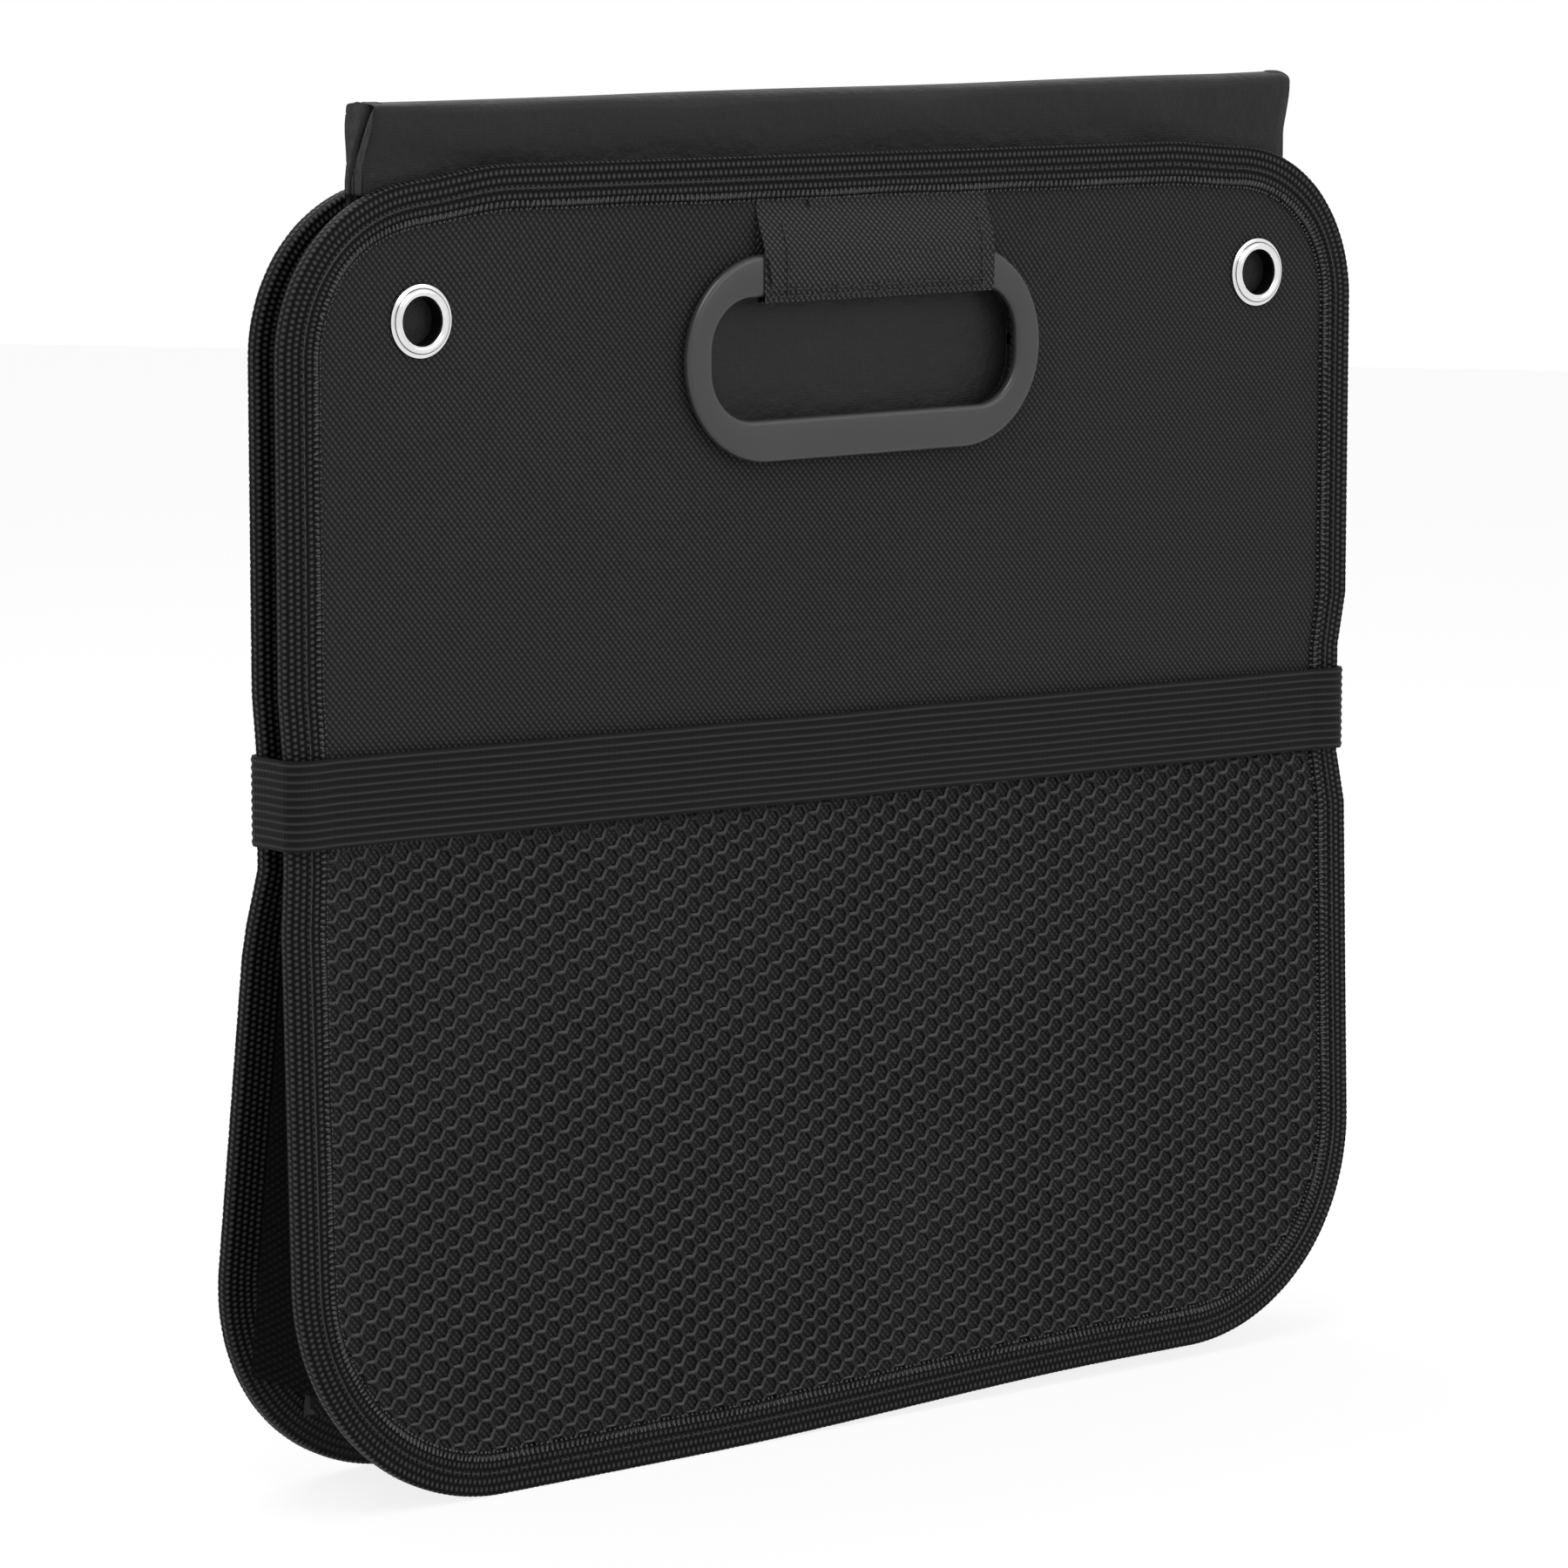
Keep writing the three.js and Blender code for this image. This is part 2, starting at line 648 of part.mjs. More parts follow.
// The elastic band: a ribbed strip round the folded box, pressed on the panels' side edges.
function elasticBand() {
  const flat_depth = hem_outer + seat_gap;
  const edge_depth = tape_outer * (1 - edge_squeeze);
  const flat_x = half_width - squeeze_reach;
  const section = [[0, -band_height / 2], [band_thickness, -band_height / 2]];
  const rib_pitch = band_height / band_ribs;
  for (let i = 0; i < band_ribs; i++) {
    const across = -band_height / 2 + rib_pitch * i;
    section.push([band_thickness + band_rib_depth, across + rib_pitch / 2]);
    section.push([band_thickness, across + rib_pitch]);
  }
  section.push([0, band_height / 2]);

  const corner = (x_side, y_side) => {
    const edge = half_width - (x_side > 0 ? band_bite_right : band_bite_left);
    const curve = new THREE.CubicBezierCurve(
      new THREE.Vector2(flat_x, flat_depth),
      new THREE.Vector2((flat_x + edge) / 2, (flat_depth + edge_depth + band_corner_lift) / 2),
      new THREE.Vector2(edge + edge_gap, edge_depth + band_corner_lift),
      new THREE.Vector2(edge + edge_gap, edge_depth - band_corner_turn),
    );
    return [...Array(corner_steps + 1).keys()].map((i) => {
      const point = curve.getPoint(i / corner_steps);
      const along = curve.getTangent(i / corner_steps);
      const [out_x, out_y] = [-x_side * along.y, y_side * along.x];
      return { x: x_side * point.x, y: y_side * point.y, out_x, out_y };
    });
  };
  const stations = [
    ...corner(1, -1),
    ...corner(1, 1).reverse(),
    ...corner(-1, 1),
    ...corner(-1, -1).reverse(),
  ];
  const place = (station, out, across) => ({
    x: station.x + station.out_x * out,
    y: station.y + station.out_y * out,
    z: band_centre_height + band_slope * station.x + across,
  });
  return sweptRing(section, stations, place);
}

function buildPanel(side) {
  const layer = (inner, outer) =>
    cut(sheet(roundedRows(panel_edge_inset), inner, outer, side), panelCutters(side));
  addMesh(side + "_cover", layer(cover_inner, cover_outer), "cover");
  addMesh(side + "_board", layer(board_inner, board_outer), "board");
  addMesh(side + "_lining", layer(panel_inner, lining_outer), "lining");
  addMesh(side + "_binding", bindingTape(side), "tape");

  // The fittings are the same on both panels: those of the back are turned half round.
  const fittings = new THREE.Group();
  fittings.rotation.z = side === "back" ? Math.PI : 0;
  organizer.add(fittings);
  const hands = ["left", "right"];
  eyelet_places.forEach((x, i) => {
    const position = [x, 0, eyelet_height];
    addMesh(side + "_" + hands[i] + "_eyelet", eyelet(), "nickel", fittings).position.set(...position);
    addMesh(side + "_" + hands[i] + "_washer", washer(), "nickel", fittings).position.set(...position);
  });
  const handle = new THREE.Group();
  handle.position.x = handle_offset;
  fittings.add(handle);
  addMesh(side + "_handle_ring", handleRing(), "ring", handle);
  addMesh(side + "_handle_strap", handleStrap(), "cover", handle);
}

buildPanel("front");
buildPanel("back");
addMesh("front_net_pocket", netPocket(), "net");
addMesh("front_pocket_hem", pocketHem(), "tape");
addMesh("base_cover", baseCover(), "lining");
addMesh("base_front_board", baseBoard("front"), "board");
addMesh("base_back_board", baseBoard("back"), "board");
addMesh("base_underside", baseUnderside(), "cover");
addMesh("left_side_wall", sideWall(-1), "cover");
addMesh("right_side_wall", sideWall(1), "cover");
addMesh("elastic_band", elasticBand(), "elastic");

const box = new THREE.Box3().setFromObject(organizer);
organizer.position.y = -(box.min.y + box.max.y) / 2;

export default organizer;
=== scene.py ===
# A trunk organizer, folded flat and held shut by an elastic band. It stands on its lower edges.
# Metres, +Z up, the front end panel faces -Y.
import bmesh
import bpy
import math
from mathutils import Matrix, Vector, noise
from mathutils.geometry import interpolate_bezier


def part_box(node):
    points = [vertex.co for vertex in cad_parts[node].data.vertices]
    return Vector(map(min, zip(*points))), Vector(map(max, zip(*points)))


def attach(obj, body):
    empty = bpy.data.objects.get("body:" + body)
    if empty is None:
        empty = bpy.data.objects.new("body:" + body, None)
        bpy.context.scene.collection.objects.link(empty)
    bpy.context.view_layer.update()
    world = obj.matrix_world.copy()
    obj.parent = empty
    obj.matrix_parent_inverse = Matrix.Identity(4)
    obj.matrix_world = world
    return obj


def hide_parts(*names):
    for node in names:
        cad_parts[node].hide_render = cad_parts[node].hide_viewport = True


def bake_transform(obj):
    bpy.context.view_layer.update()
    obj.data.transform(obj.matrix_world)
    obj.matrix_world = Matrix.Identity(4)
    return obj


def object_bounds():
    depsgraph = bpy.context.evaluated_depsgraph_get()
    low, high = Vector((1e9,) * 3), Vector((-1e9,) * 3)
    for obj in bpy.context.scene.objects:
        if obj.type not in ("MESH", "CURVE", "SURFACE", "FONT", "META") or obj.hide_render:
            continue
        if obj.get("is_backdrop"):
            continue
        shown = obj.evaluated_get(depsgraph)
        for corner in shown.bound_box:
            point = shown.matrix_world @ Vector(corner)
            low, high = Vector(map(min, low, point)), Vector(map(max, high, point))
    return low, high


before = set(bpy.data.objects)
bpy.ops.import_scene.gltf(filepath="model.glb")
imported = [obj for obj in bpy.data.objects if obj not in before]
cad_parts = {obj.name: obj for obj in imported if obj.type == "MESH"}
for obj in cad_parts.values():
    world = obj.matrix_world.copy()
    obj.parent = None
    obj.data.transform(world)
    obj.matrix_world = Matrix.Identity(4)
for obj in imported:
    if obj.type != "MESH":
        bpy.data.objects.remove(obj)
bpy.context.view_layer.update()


# Stiffening boards: two in the end panels and two in the folded base. They are die-cut from black
# polypropylene sheet and lie loose between their cloths, so only their cut edges ever show. The front
# panel's board follows its panel and is made with the covers.
def srgb(code):
    """An sRGB hex colour as the linear one that a shader takes."""
    parts = [int(code[i : i + 2], 16) / 255 for i in (1, 3, 5)]
    return [c / 12.92 if c <= 0.04045 else ((c + 0.055) / 1.055) ** 2.4 for c in parts] + [1]


def shades(dark, light):
    """Settings of a mix between two colours."""
    return {"data_type": "RGBA", 6: srgb(dark), 7: srgb(light)}


def add_node(tree, kind, settings=None, links=None):
    """Adds a node, gives it its settings, and joins other nodes, or their outputs, to its inputs."""
    node = tree.nodes.new("ShaderNode" + kind)
    for name, value in (settings or {}).items():
        if isinstance(name, int) or name in node.inputs.keys():
            node.inputs[name].default_value = value
        else:
            setattr(node, name, value)
    for name, source in (links or {}).items():
        output = source.outputs[0] if isinstance(source, bpy.types.Node) else source
        tree.links.new(output, node.inputs[name])
    return node


def new_material(name, roughness, specular=0.5, **values):
    """A material with its node tree and its shader."""
    material = bpy.data.materials.new(name)
    material.use_nodes = True
    shader = material.node_tree.nodes["Principled BSDF"]
    shader.inputs["Roughness"].default_value = roughness
    shader.inputs["Specular IOR Level"].default_value = specular
    for socket, value in values.items():
        shader.inputs[socket.replace("_", " ").title()].default_value = value
    return material, material.node_tree, shader


# Calendered polypropylene: a waxy satin with faint streaks from the rollers.
board_plastic, tree, shader = new_material("black_polypropylene_sheet", 0.38)
place = add_node(tree, "TexCoord")
streaks = add_node(tree, "Mapping", {"Scale": (40, 40, 900)}, {"Vector": place.outputs["Object"]})
grain = add_node(tree, "TexNoise", {"Scale": 1, "Detail": 3}, {"Vector": streaks})
tint = add_node(tree, "Mix", shades("#161616", "#262626"), {0: grain})
dents = add_node(tree, "Bump", {"Strength": 0.3, "Distance": 0.0001}, {"Height": grain})
tree.links.new(tint.outputs[2], shader.inputs["Base Color"])
tree.links.new(dents.outputs[0], shader.inputs["Normal"])

for node in ("back_board", "base_front_board", "base_back_board"):
    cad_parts[node].data.materials.clear()
    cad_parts[node].data.materials.append(board_plastic)


# Covers and linings of the end panels. The covers are plain 600 denier polyester cloth with a diagonal
# grain, the linings a smooth satin; both are stretched over the board and caught in the edge tape.
half_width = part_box("front_binding")[1].x
panel_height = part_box("front_binding")[1].z
middle = (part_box("front_left_eyelet")[0].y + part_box("back_left_eyelet")[1].y) / 2
band_centre = (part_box("elastic_band")[0].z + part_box("elastic_band")[1].z) / 2
corner_radius = 0.038
foot_corner_radius = 0.054
lining_depth = 0.0041  # from the middle plane to the lining's inner face
lining_thickness = 0.0003
cover_depth = 0.0059
cover_thickness = 0.0004
panel_edge_inset = 0.00085
ring_bar = 0.0098
ring_end_bar = 0.0073
cutout_margin = 0.0010  # the turned-in cloth narrows the hand hole
cutout_radius = 0.0118
cutout_turn = 0.0021  # how deep the cover is turned in
eyelet_hole_radius = 0.0059
eyelet_pucker = 0.007  # how far round an eyelet the cloth is drawn in
front_slope = 0.03  # how fast the panels part below the band
back_slope = 0.147
back_soft_spread = 0.0021
bend_soft_length = 0.020
bite_flat = 0.013  # how far from its middle the band's bite is full, and where it ends
bite_reach = 0.026
bite_width = 0.038
bite_left = 0.001
bite_right = 0.0025
edge_squeeze = 0.05  # the panels are thinner at their side edges by this share
squeeze_reach = 0.012
corner_draw = 0.0032  # the front panel's lower right corner is drawn up by this much
draw_height = 0.09
draw_start = -0.05  # where along the panel's foot the draw begins, and how soon it is full
draw_length = 0.13
bow_rise = 0.0024  # the front panel's top edge is bowed up between the eyelets
bow_slope = -0.0056  # it is higher at the left
bow_half = 0.127
bow_end = 0.030  # the bow fades out over this much at each end
bow_foot = 0.030  # how far down from the edge it reaches, and where it is full
bow_full = 0.010
trim_reach = 0.003  # edges nearer than this are drawn onto a cut line
trim_step = 1e-5
wave_scale = 22
pucker_wave = 1.6  # how much deeper than its waves a cloth is drawn in round an eyelet


def share(value):
    return min(1.0, max(0.0, value))


def ease(value):
    """A share that starts and ends softly."""
    value = share(value)
    return value * value * (3 - 2 * value)


def spread(side, z):
    """How far a panel has moved from the middle plane at a height: it parts below the band."""
    below = max(0.0, band_centre - bite_flat - z)
    if side == "front":
        return -front_slope * below
    return back_slope * below + back_soft_spread * share(below / bend_soft_length)


def settle(side, x, depth, z):
    """Where a point of a flat panel lies in the folded box that the band presses together."""
    near_band = share((bite_reach - abs(z - band_centre)) / (bite_reach - bite_flat))
    near_edge = share((abs(x) - half_width + bite_width) / bite_width)
    bite = math.copysign(bite_right if x > 0 else bite_left, x) * near_band * near_edge
    pressed = depth * (1 - edge_squeeze * share((abs(x) - half_width + squeeze_reach) / squeeze_reach))
    y = middle + (-pressed if side == "front" else pressed) + spread(side, z)
    if side == "front":
        z += corner_draw * ease((x - draw_start) / draw_length) * share(1 - z / draw_height)
        near_top = share((z - panel_height + bow_foot) / (bow_foot - bow_full))
        z += (bow_rise + bow_slope * x) * ease((bow_half - abs(x)) / bow_end) * near_top
    return Vector((x - bite, y, z))


def rounded(x, y, middle_x, middle_y, half_x, half_y, radius):
    """How far a point lies outside a rectangle with round corners, or inside it if negative."""
    over_x = abs(x - middle_x) - half_x + radius
    over_y = abs(y - middle_y) - half_y + radius
    outside = math.hypot(max(over_x, 0), max(over_y, 0))
    return outside + min(max(over_x, over_y), 0) - radius


def panel_outline(x, y, inset):
    """How far a point lies outside the outline of a flat panel, whose lower corners are rounder."""
    half = panel_height / 2
    corner = foot_corner_radius if y < half else corner_radius
    return rounded(x, y, 0, half, half_width - inset, half - inset, corner - inset)


def new_grid(columns, rows):
    """A flat grid of unit size about the origin."""
    bm = bmesh.new()
    bmesh.ops.create_grid(bm, x_segments=columns, y_segments=rows, size=0.5)
    return bm


def only_verts(geom):
    return [v for v in geom if isinstance(v, bmesh.types.BMVert)]


def trim(bm, away):
    """Takes off the faces where away is positive and draws the cut edge onto its outline."""
    gone = [face for face in bm.faces if away(*face.calc_center_median().xy) > 0]
    bmesh.ops.delete(bm, geom=gone, context="FACES")
    edge = [v for v in bm.verts if v.is_boundary and abs(away(*v.co.xy)) < trim_reach]
    for v in edge:
        far = away(*v.co.xy)
        slope_x = (away(v.co.x + trim_step, v.co.y) - far) / trim_step
        slope_y = (away(v.co.x, v.co.y + trim_step) - far) / trim_step
        v.co.xy = (v.co.x - slope_x * far, v.co.y - slope_y * far)
    return edge


def finish_piece(bm, name, material, body="folded_box", closed=True, sharp=40):
    """Turns a bmesh into a smooth piece with its material, riding on a body unless that is None."""
    if closed:
        bmesh.ops.recalc_face_normals(bm, faces=bm.faces)
    for face in bm.faces:
        face.smooth = True
    mesh = bpy.data.meshes.new(name)
    bm.to_mesh(mesh)
    bm.free()
    mesh.set_sharp_from_angle(angle=math.radians(sharp))
    mesh.materials.append(material)
    piece = bpy.data.objects.new(name, mesh)
    bpy.context.scene.collection.objects.link(piece)
    if body:
        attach(piece, body)
    return piece


def map_cloth(bm, across=None):
    """Gives a flat cloth its map in metres, before it is bent."""
    layer = bm.loops.layers.uv.verify()
    for face in bm.faces:
        for loop in face.loops:
            co = loop.vert.co
            loop[layer].uv = across(co) if across else (co.x + co.z, co.y - co.z)


def panel_cloth(name, side, depth, thickness, cell, wave, material, turned):
    """A cloth over a whole end panel, with the hand hole and the eyelet holes."""
    bm = new_grid(round(2 * half_width / cell), round(panel_height / cell))
    bmesh.ops.scale(bm, vec=(2 * half_width, panel_height, 1), verts=bm.verts)
    bmesh.ops.translate(bm, vec=(0, panel_height / 2, depth + thickness), verts=bm.verts)
    trim(bm, lambda x, y: panel_outline(x, y, panel_edge_inset))
    eyelets = []
    for hand in ("left", "right"):
        low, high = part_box(f"{side}_{hand}_eyelet")
        x, z, size = (low.x + high.x) / 2, (low.z + high.z) / 2, eyelet_hole_radius
        trim(bm, lambda a, b: -rounded(a, b, x, z, size, size, size))
        eyelets.append((x, z))
    low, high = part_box(side + "_handle_ring")
    x, z = (low.x + high.x) / 2, (low.z + high.z) / 2
    half_x, half_y = (high.x - low.x) / 2 - ring_end_bar, (high.z - low.z) / 2 - ring_bar
    hole = (x, z, half_x + cutout_margin, half_y + cutout_margin, cutout_radius)
    rim = trim(bm, lambda a, b: -rounded(a, b, *hole))
    if turned:
        edges = [e for e in bm.edges if e.is_boundary and e.verts[0] in rim and e.verts[1] in rim]
        wall = bmesh.ops.extrude_edge_only(bm, edges=edges)["geom"]
        bmesh.ops.translate(bm, vec=(0, 0, -cutout_turn), verts=only_verts(wall))
    for v in bm.verts:
        v.co.z += wave * noise.noise((v.co.x * wave_scale, v.co.y * wave_scale, len(name)))
        for x, z in eyelets:
            far = math.dist(v.co.xy, (x, z)) - eyelet_hole_radius
            v.co.z -= pucker_wave * wave * math.exp(-((far / eyelet_pucker) ** 2))
    bmesh.ops.solidify(bm, geom=bm.faces[:], thickness=thickness)
    map_cloth(bm)
    for v in bm.verts:
        v.co = settle(side, v.co.x, v.co.z, v.co.y)
    return finish_piece(bm, name, material)


def twill(tree, pitch, lean, depth):
    """Height of a cloth with a diagonal grain, and its normal. The ribs lean off the warp, and each is
    a chain of floats one pitch long."""
    place = add_node(tree, "TexCoord")
    turn = {"Rotation": (0, 0, lean)}
    along = add_node(tree, "Mapping", turn, {"Vector": place.outputs["UV"]})
    loose = {"Scale": math.pi / 10 / pitch, "Distortion": 0.7, "Detail": 1, "Detail Scale": 0.25}
    ribs = add_node(tree, "TexWave", loose, {"Vector": along})
    floats = add_node(tree, "TexWave", {"bands_direction": "Y", **loose}, {"Vector": along})
    beads = add_node(tree, "Math", {"operation": "MULTIPLY_ADD", 1: 0.75, 2: 0.25}, {0: floats.outputs[1]})
    height = add_node(tree, "Math", {"operation": "MULTIPLY"}, {0: ribs.outputs[1], 1: beads})
    bump = add_node(tree, "Bump", {"Distance": depth}, {"Height": height})
    return height.outputs[0], bump.outputs[0]


def woven_cloth(name, gap_shade, thread, pitch, lean, depth, roughness, specular, crumple=0.0001):
    """A cloth painted lighter on its thread tops and darker in its gaps, as painted light and painted
    shade, with a slow random change of tone over it.
    """
    material, tree, shader = new_material(name, roughness, specular, sheen_weight=0.05)
    shader.inputs["Sheen Roughness"].default_value = 0.4
    height, normal = twill(tree, pitch, lean, depth)
    # Painted light and shade: the colour follows the weave's height, light on the thread tops and dark in
    # the gaps.
    painted_weave_shade = add_node(tree, "Mix", shades(gap_shade, thread), {0: height})
    place = add_node(tree, "TexCoord")
    patches = add_node(tree, "TexNoise", {"Scale": 14, "Detail": 4}, {"Vector": place.outputs["Object"]})
    level = add_node(tree, "MapRange", {3: 0.82, 4: 1.18}, {0: patches})
    product = {"data_type": "RGBA", "blend_type": "MULTIPLY", 0: 1.0}
    shade = add_node(tree, "Mix", product, {6: painted_weave_shade.outputs[2], 7: level})
    fine = {"Scale": 60, "Detail": 5, "Roughness": 0.65}
    creases = add_node(tree, "TexNoise", fine, {"Vector": place.outputs["Object"]})
    uneven = add_node(tree, "Bump", {"Distance": crumple}, {"Height": creases, "Normal": normal})
    tree.links.new(shade.outputs[2], shader.inputs["Base Color"])
    tree.links.new(uneven.outputs[0], shader.inputs["Normal"])
    return material


# Plain coated 600 denier polyester: dull, dark grey, with floats about 1 mm long, and painted shade in the
# gaps of its weave.
weave_lean = math.radians(-41)
cover_cloth = woven_cloth(
    "woven_600_denier_polyester", "#0f0f10", "#3e3e3f", 0.0012, weave_lean, 0.00022, 0.75, 0.15
)
# Satin: its threads are far finer than the render shows, so its grain is drawn 0.5 mm coarse and very
# low. It lies in soft crumples.
# Its gaps hold painted shade, as in the other woven cloths.
satin = woven_cloth(
    "satin_lining", "#181819", "#29292a", 0.0005, math.radians(90), 0.00003, 0.5, 0.2, 0.0012
)

# The front panel's lower corner is drawn up and its top edge bowed, and its board follows.
board_depth = 0.0045
board_thickness = 0.0013
cover_cell = 0.0026
lining_cell = 0.0035
cover_wave = 0.00015
board = panel_cloth(
    "front_board_sheet", "front", board_depth, board_thickness, cover_cell, 0, board_plastic, False
)
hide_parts("front_board")

for side in ("front", "back"):
    cover = panel_cloth(
        side + "_cover_cloth", side, cover_depth, cover_thickness, cover_cell, cover_wave, cover_cloth, True
    )
    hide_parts(side + "_cover")
    lining = panel_cloth(
        side + "_lining_cloth", side, lining_depth, lining_thickness, lining_cell, 0, satin, False
    )
    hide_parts(side + "_lining")


# Edge tape of the end panels: a coarse polypropylene tape, folded over the edge and sewn through once.
# Its floats stand up as oval beads, and its selvedge is a row of small loops.
tape_width = 0.0098
tape_thickness = 0.0004
tape_inner = 0.00325
tape_outer = 0.00715
tape_nose_depth = 0.0008
tape_nose_flat = 0.0018  # the box stands on this flattened edge
bead_length = 0.00145
bead_width = 0.0018
bead_rise = 0.00026
tape_fold = 0.0006  # the tape's inner fold keeps this far off its outer one
tape_wander = 0.03  # its edge wanders by this share of its width
tape_wander_scale = 40
tape_spacing = 0.00051  # between the stations of the mesh along the tape
tape_stitch_inset = 0.0044  # of the seam, from the tape's inner edge
stitch_pitch = 0.0029
stitch_length = 0.0022
stitch_radius = 0.0002
loop_pitch = 0.0014  # of the small loops along the tape's selvedge
loop_length = 0.0021
loop_reach = 0.0004  # how far they stand out from the tape
loop_drop = 0.0006
loop_lean = 0.0007  # how far a loop's ends wander along the tape
loop_radius = 0.00028


def edge_stations(spacing):
    """Places along the panel's edge, each with the way outwards and the run, and the whole length."""
    corners = (
        (1, -1, foot_corner_radius),
        (1, 1, corner_radius),
        (-1, 1, corner_radius),
        (-1, -1, foot_corner_radius),
    )
    half = panel_height / 2
    stations = []
    run = 0.0
    for i, (way_x, way_y, radius) in enumerate(corners):
        next_radius = corners[(i + 1) % 4][2]
        core = Vector((way_x * (half_width - radius), half + way_y * (half - radius)))
        arc = radius * math.pi / 2
        steps = round(arc / spacing)
        for j in range(steps):
            angle = math.pi / 2 * (i - 1 + j / steps)
            outwards = Vector((math.cos(angle), math.sin(angle)))
            stations.append((core + radius * outwards, outwards, run + arc * j / steps))
        run += arc
        outwards = Vector((math.cos(math.pi / 2 * i), math.sin(math.pi / 2 * i)))
        start = core + radius * outwards
        length = (panel_height if i % 2 == 0 else 2 * half_width) - radius - next_radius
        along = Vector((-outwards.y, outwards.x))
        steps = round(length / spacing)
        for j in range(steps):
            stations.append((start + along * length * j / steps, outwards, run + length * j / steps))
        run += length
    return stations, run


def tape_section():
    """The tape's closed section: how far out, the depth, the way of the relief and the run across."""
    half = (tape_outer - tape_inner) / 2
    centre = (tape_outer + tape_inner) / 2
    flat = tape_width - tape_nose_depth
    corner = half - tape_nose_flat / 2
    points = [(-tape_width + flat * i / 18, tape_outer, 0, 1) for i in range(18)]
    for way in (1, -1):
        for i in range(6):
            angle = math.pi / 2 * (1 - i / 5 if way > 0 else i / 5)
            out, deep = math.cos(angle), way * math.sin(angle)
            reach = centre + way * tape_nose_flat / 2 + corner * deep
            points.append((-tape_nose_depth * (1 - out), reach, out, deep))
        if way > 0:
            points += [(0, centre + tape_nose_flat * (0.5 - i / 4), 1, 0) for i in range(1, 4)]
    for i in range(1, 5):
        points.append((-tape_nose_depth - flat * i / 4, tape_inner, 0, 0))
    inside = half - tape_thickness
    points += [(out, centre - inside, 0, 0) for out in (-tape_width, -tape_fold)]
    points += [(out, centre + inside, 0, 0) for out in (-tape_fold, -tape_width)]
    run = 0.0
    section = []
    for i, point in enumerate(points):
        if i > 0:
            run += math.dist(point[:2], points[i - 1][:2])
        section.append((*point, run))
    return section


def sweep_closed(stations, whole_run, section, lay):
    """A closed tube: a grid of stations by section points, rolled up both ways."""
    count, points = len(stations), len(section)
    bm = new_grid(count, points)
    layer = bm.loops.layers.uv.verify()
    spots = {v: (round((v.co.x + 0.5) * count), round((v.co.y + 0.5) * points)) for v in bm.verts}
    for face in bm.faces:
        for loop in face.loops:
            i, j = spots[loop.vert]
            run = stations[i][2] if i < count else stations[0][2] + whole_run
            loop[layer].uv = (run, section[j % points][-1])
    for v, (i, j) in spots.items():
        v.co = lay(stations[i % count], section[j % points])
    bmesh.ops.remove_doubles(bm, verts=bm.verts, dist=1e-7)
    return bm


# Coarse polypropylene tape of black yarn, with hardly any gloss: painted shade makes its gaps near black
# and painted highlight makes its beads grey.
tape_yarn, tree, shader = new_material("coarse_woven_edge_tape", 0.5, 0.08)
place = add_node(tree, "TexCoord")
size = {"Scale": (1 / bead_length, 1 / bead_width, 1)}
beads = add_node(tree, "Mapping", size, {"Vector": place.outputs["UV"]})
parts = add_node(tree, "SeparateXYZ", None, {0: beads})
row = add_node(tree, "Math", {"operation": "FLOOR"}, {0: parts.outputs[1]})
shift = add_node(tree, "Math", {"operation": "MULTIPLY_ADD", 1: 0.5}, {0: row, 2: parts})
sines = []
for run in (shift, parts.outputs[1]):
    turn = add_node(tree, "Math", {"operation": "MULTIPLY", 1: math.pi}, {0: run})
    sines.append(add_node(tree, "Math", {"operation": "SINE"}, {0: turn}))
both = add_node(tree, "Math", {"operation": "MULTIPLY"}, {0: sines[0], 1: sines[1]})
bead = add_node(tree, "Math", {"operation": "ABSOLUTE"}, {0: both})
# Painted highlight on the beads' crowns and painted shade in the gaps between them.
crown_light = add_node(tree, "Math", {"operation": "POWER", 1: 2.6}, {0: bead})
shade = add_node(tree, "Mix", shades("#020202", "#484848"), {0: crown_light})
relief = add_node(tree, "Bump", {"Strength": 0.6, "Distance": 0.00025}, {"Height": bead})
tree.links.new(shade.outputs[2], shader.inputs["Base Color"])
tree.links.new(relief.outputs[0], shader.inputs["Normal"])

# Bonded polyester sewing thread, with the low gloss of its coating.
thread, tree, shader = new_material("black_sewing_thread", 0.45, 0.4)
place = add_node(tree, "TexCoord")
twist = add_node(tree, "TexWave", {"Scale": 700}, {"Vector": place.outputs["Object"]})
tint = add_node(tree, "Mix", shades("#131313", "#2e2e2e"), {0: twist.outputs[1]})
tree.links.new(tint.outputs[2], shader.inputs["Base Color"])


def mottled(name, dark, light, scale, detail, roughness, specular=0.5, **values):
    """A material whose colour wanders between two shades, and the pattern that it follows."""
    material, tree, shader = new_material(name, roughness, specular, **values)
    place = add_node(tree, "TexCoord")
    spots = {"Scale": scale, "Detail": detail}
    pattern = add_node(tree, "TexNoise", spots, {"Vector": place.outputs["Object"]})
    tint = add_node(tree, "Mix", shades(dark, light), {0: pattern})
    tree.links.new(tint.outputs[2], shader.inputs["Base Color"])
    return material, tree, shader, pattern


# The selvedge's loops are painted lighter than the tape, as painted highlight where they bend over and
# catch the light; their colour wanders at random.
selvedge = mottled("selvedge_yarn_painted_highlight", "#1a1a1a", "#5c5c5c", 1500, 2, 0.4, 0.4)[0]


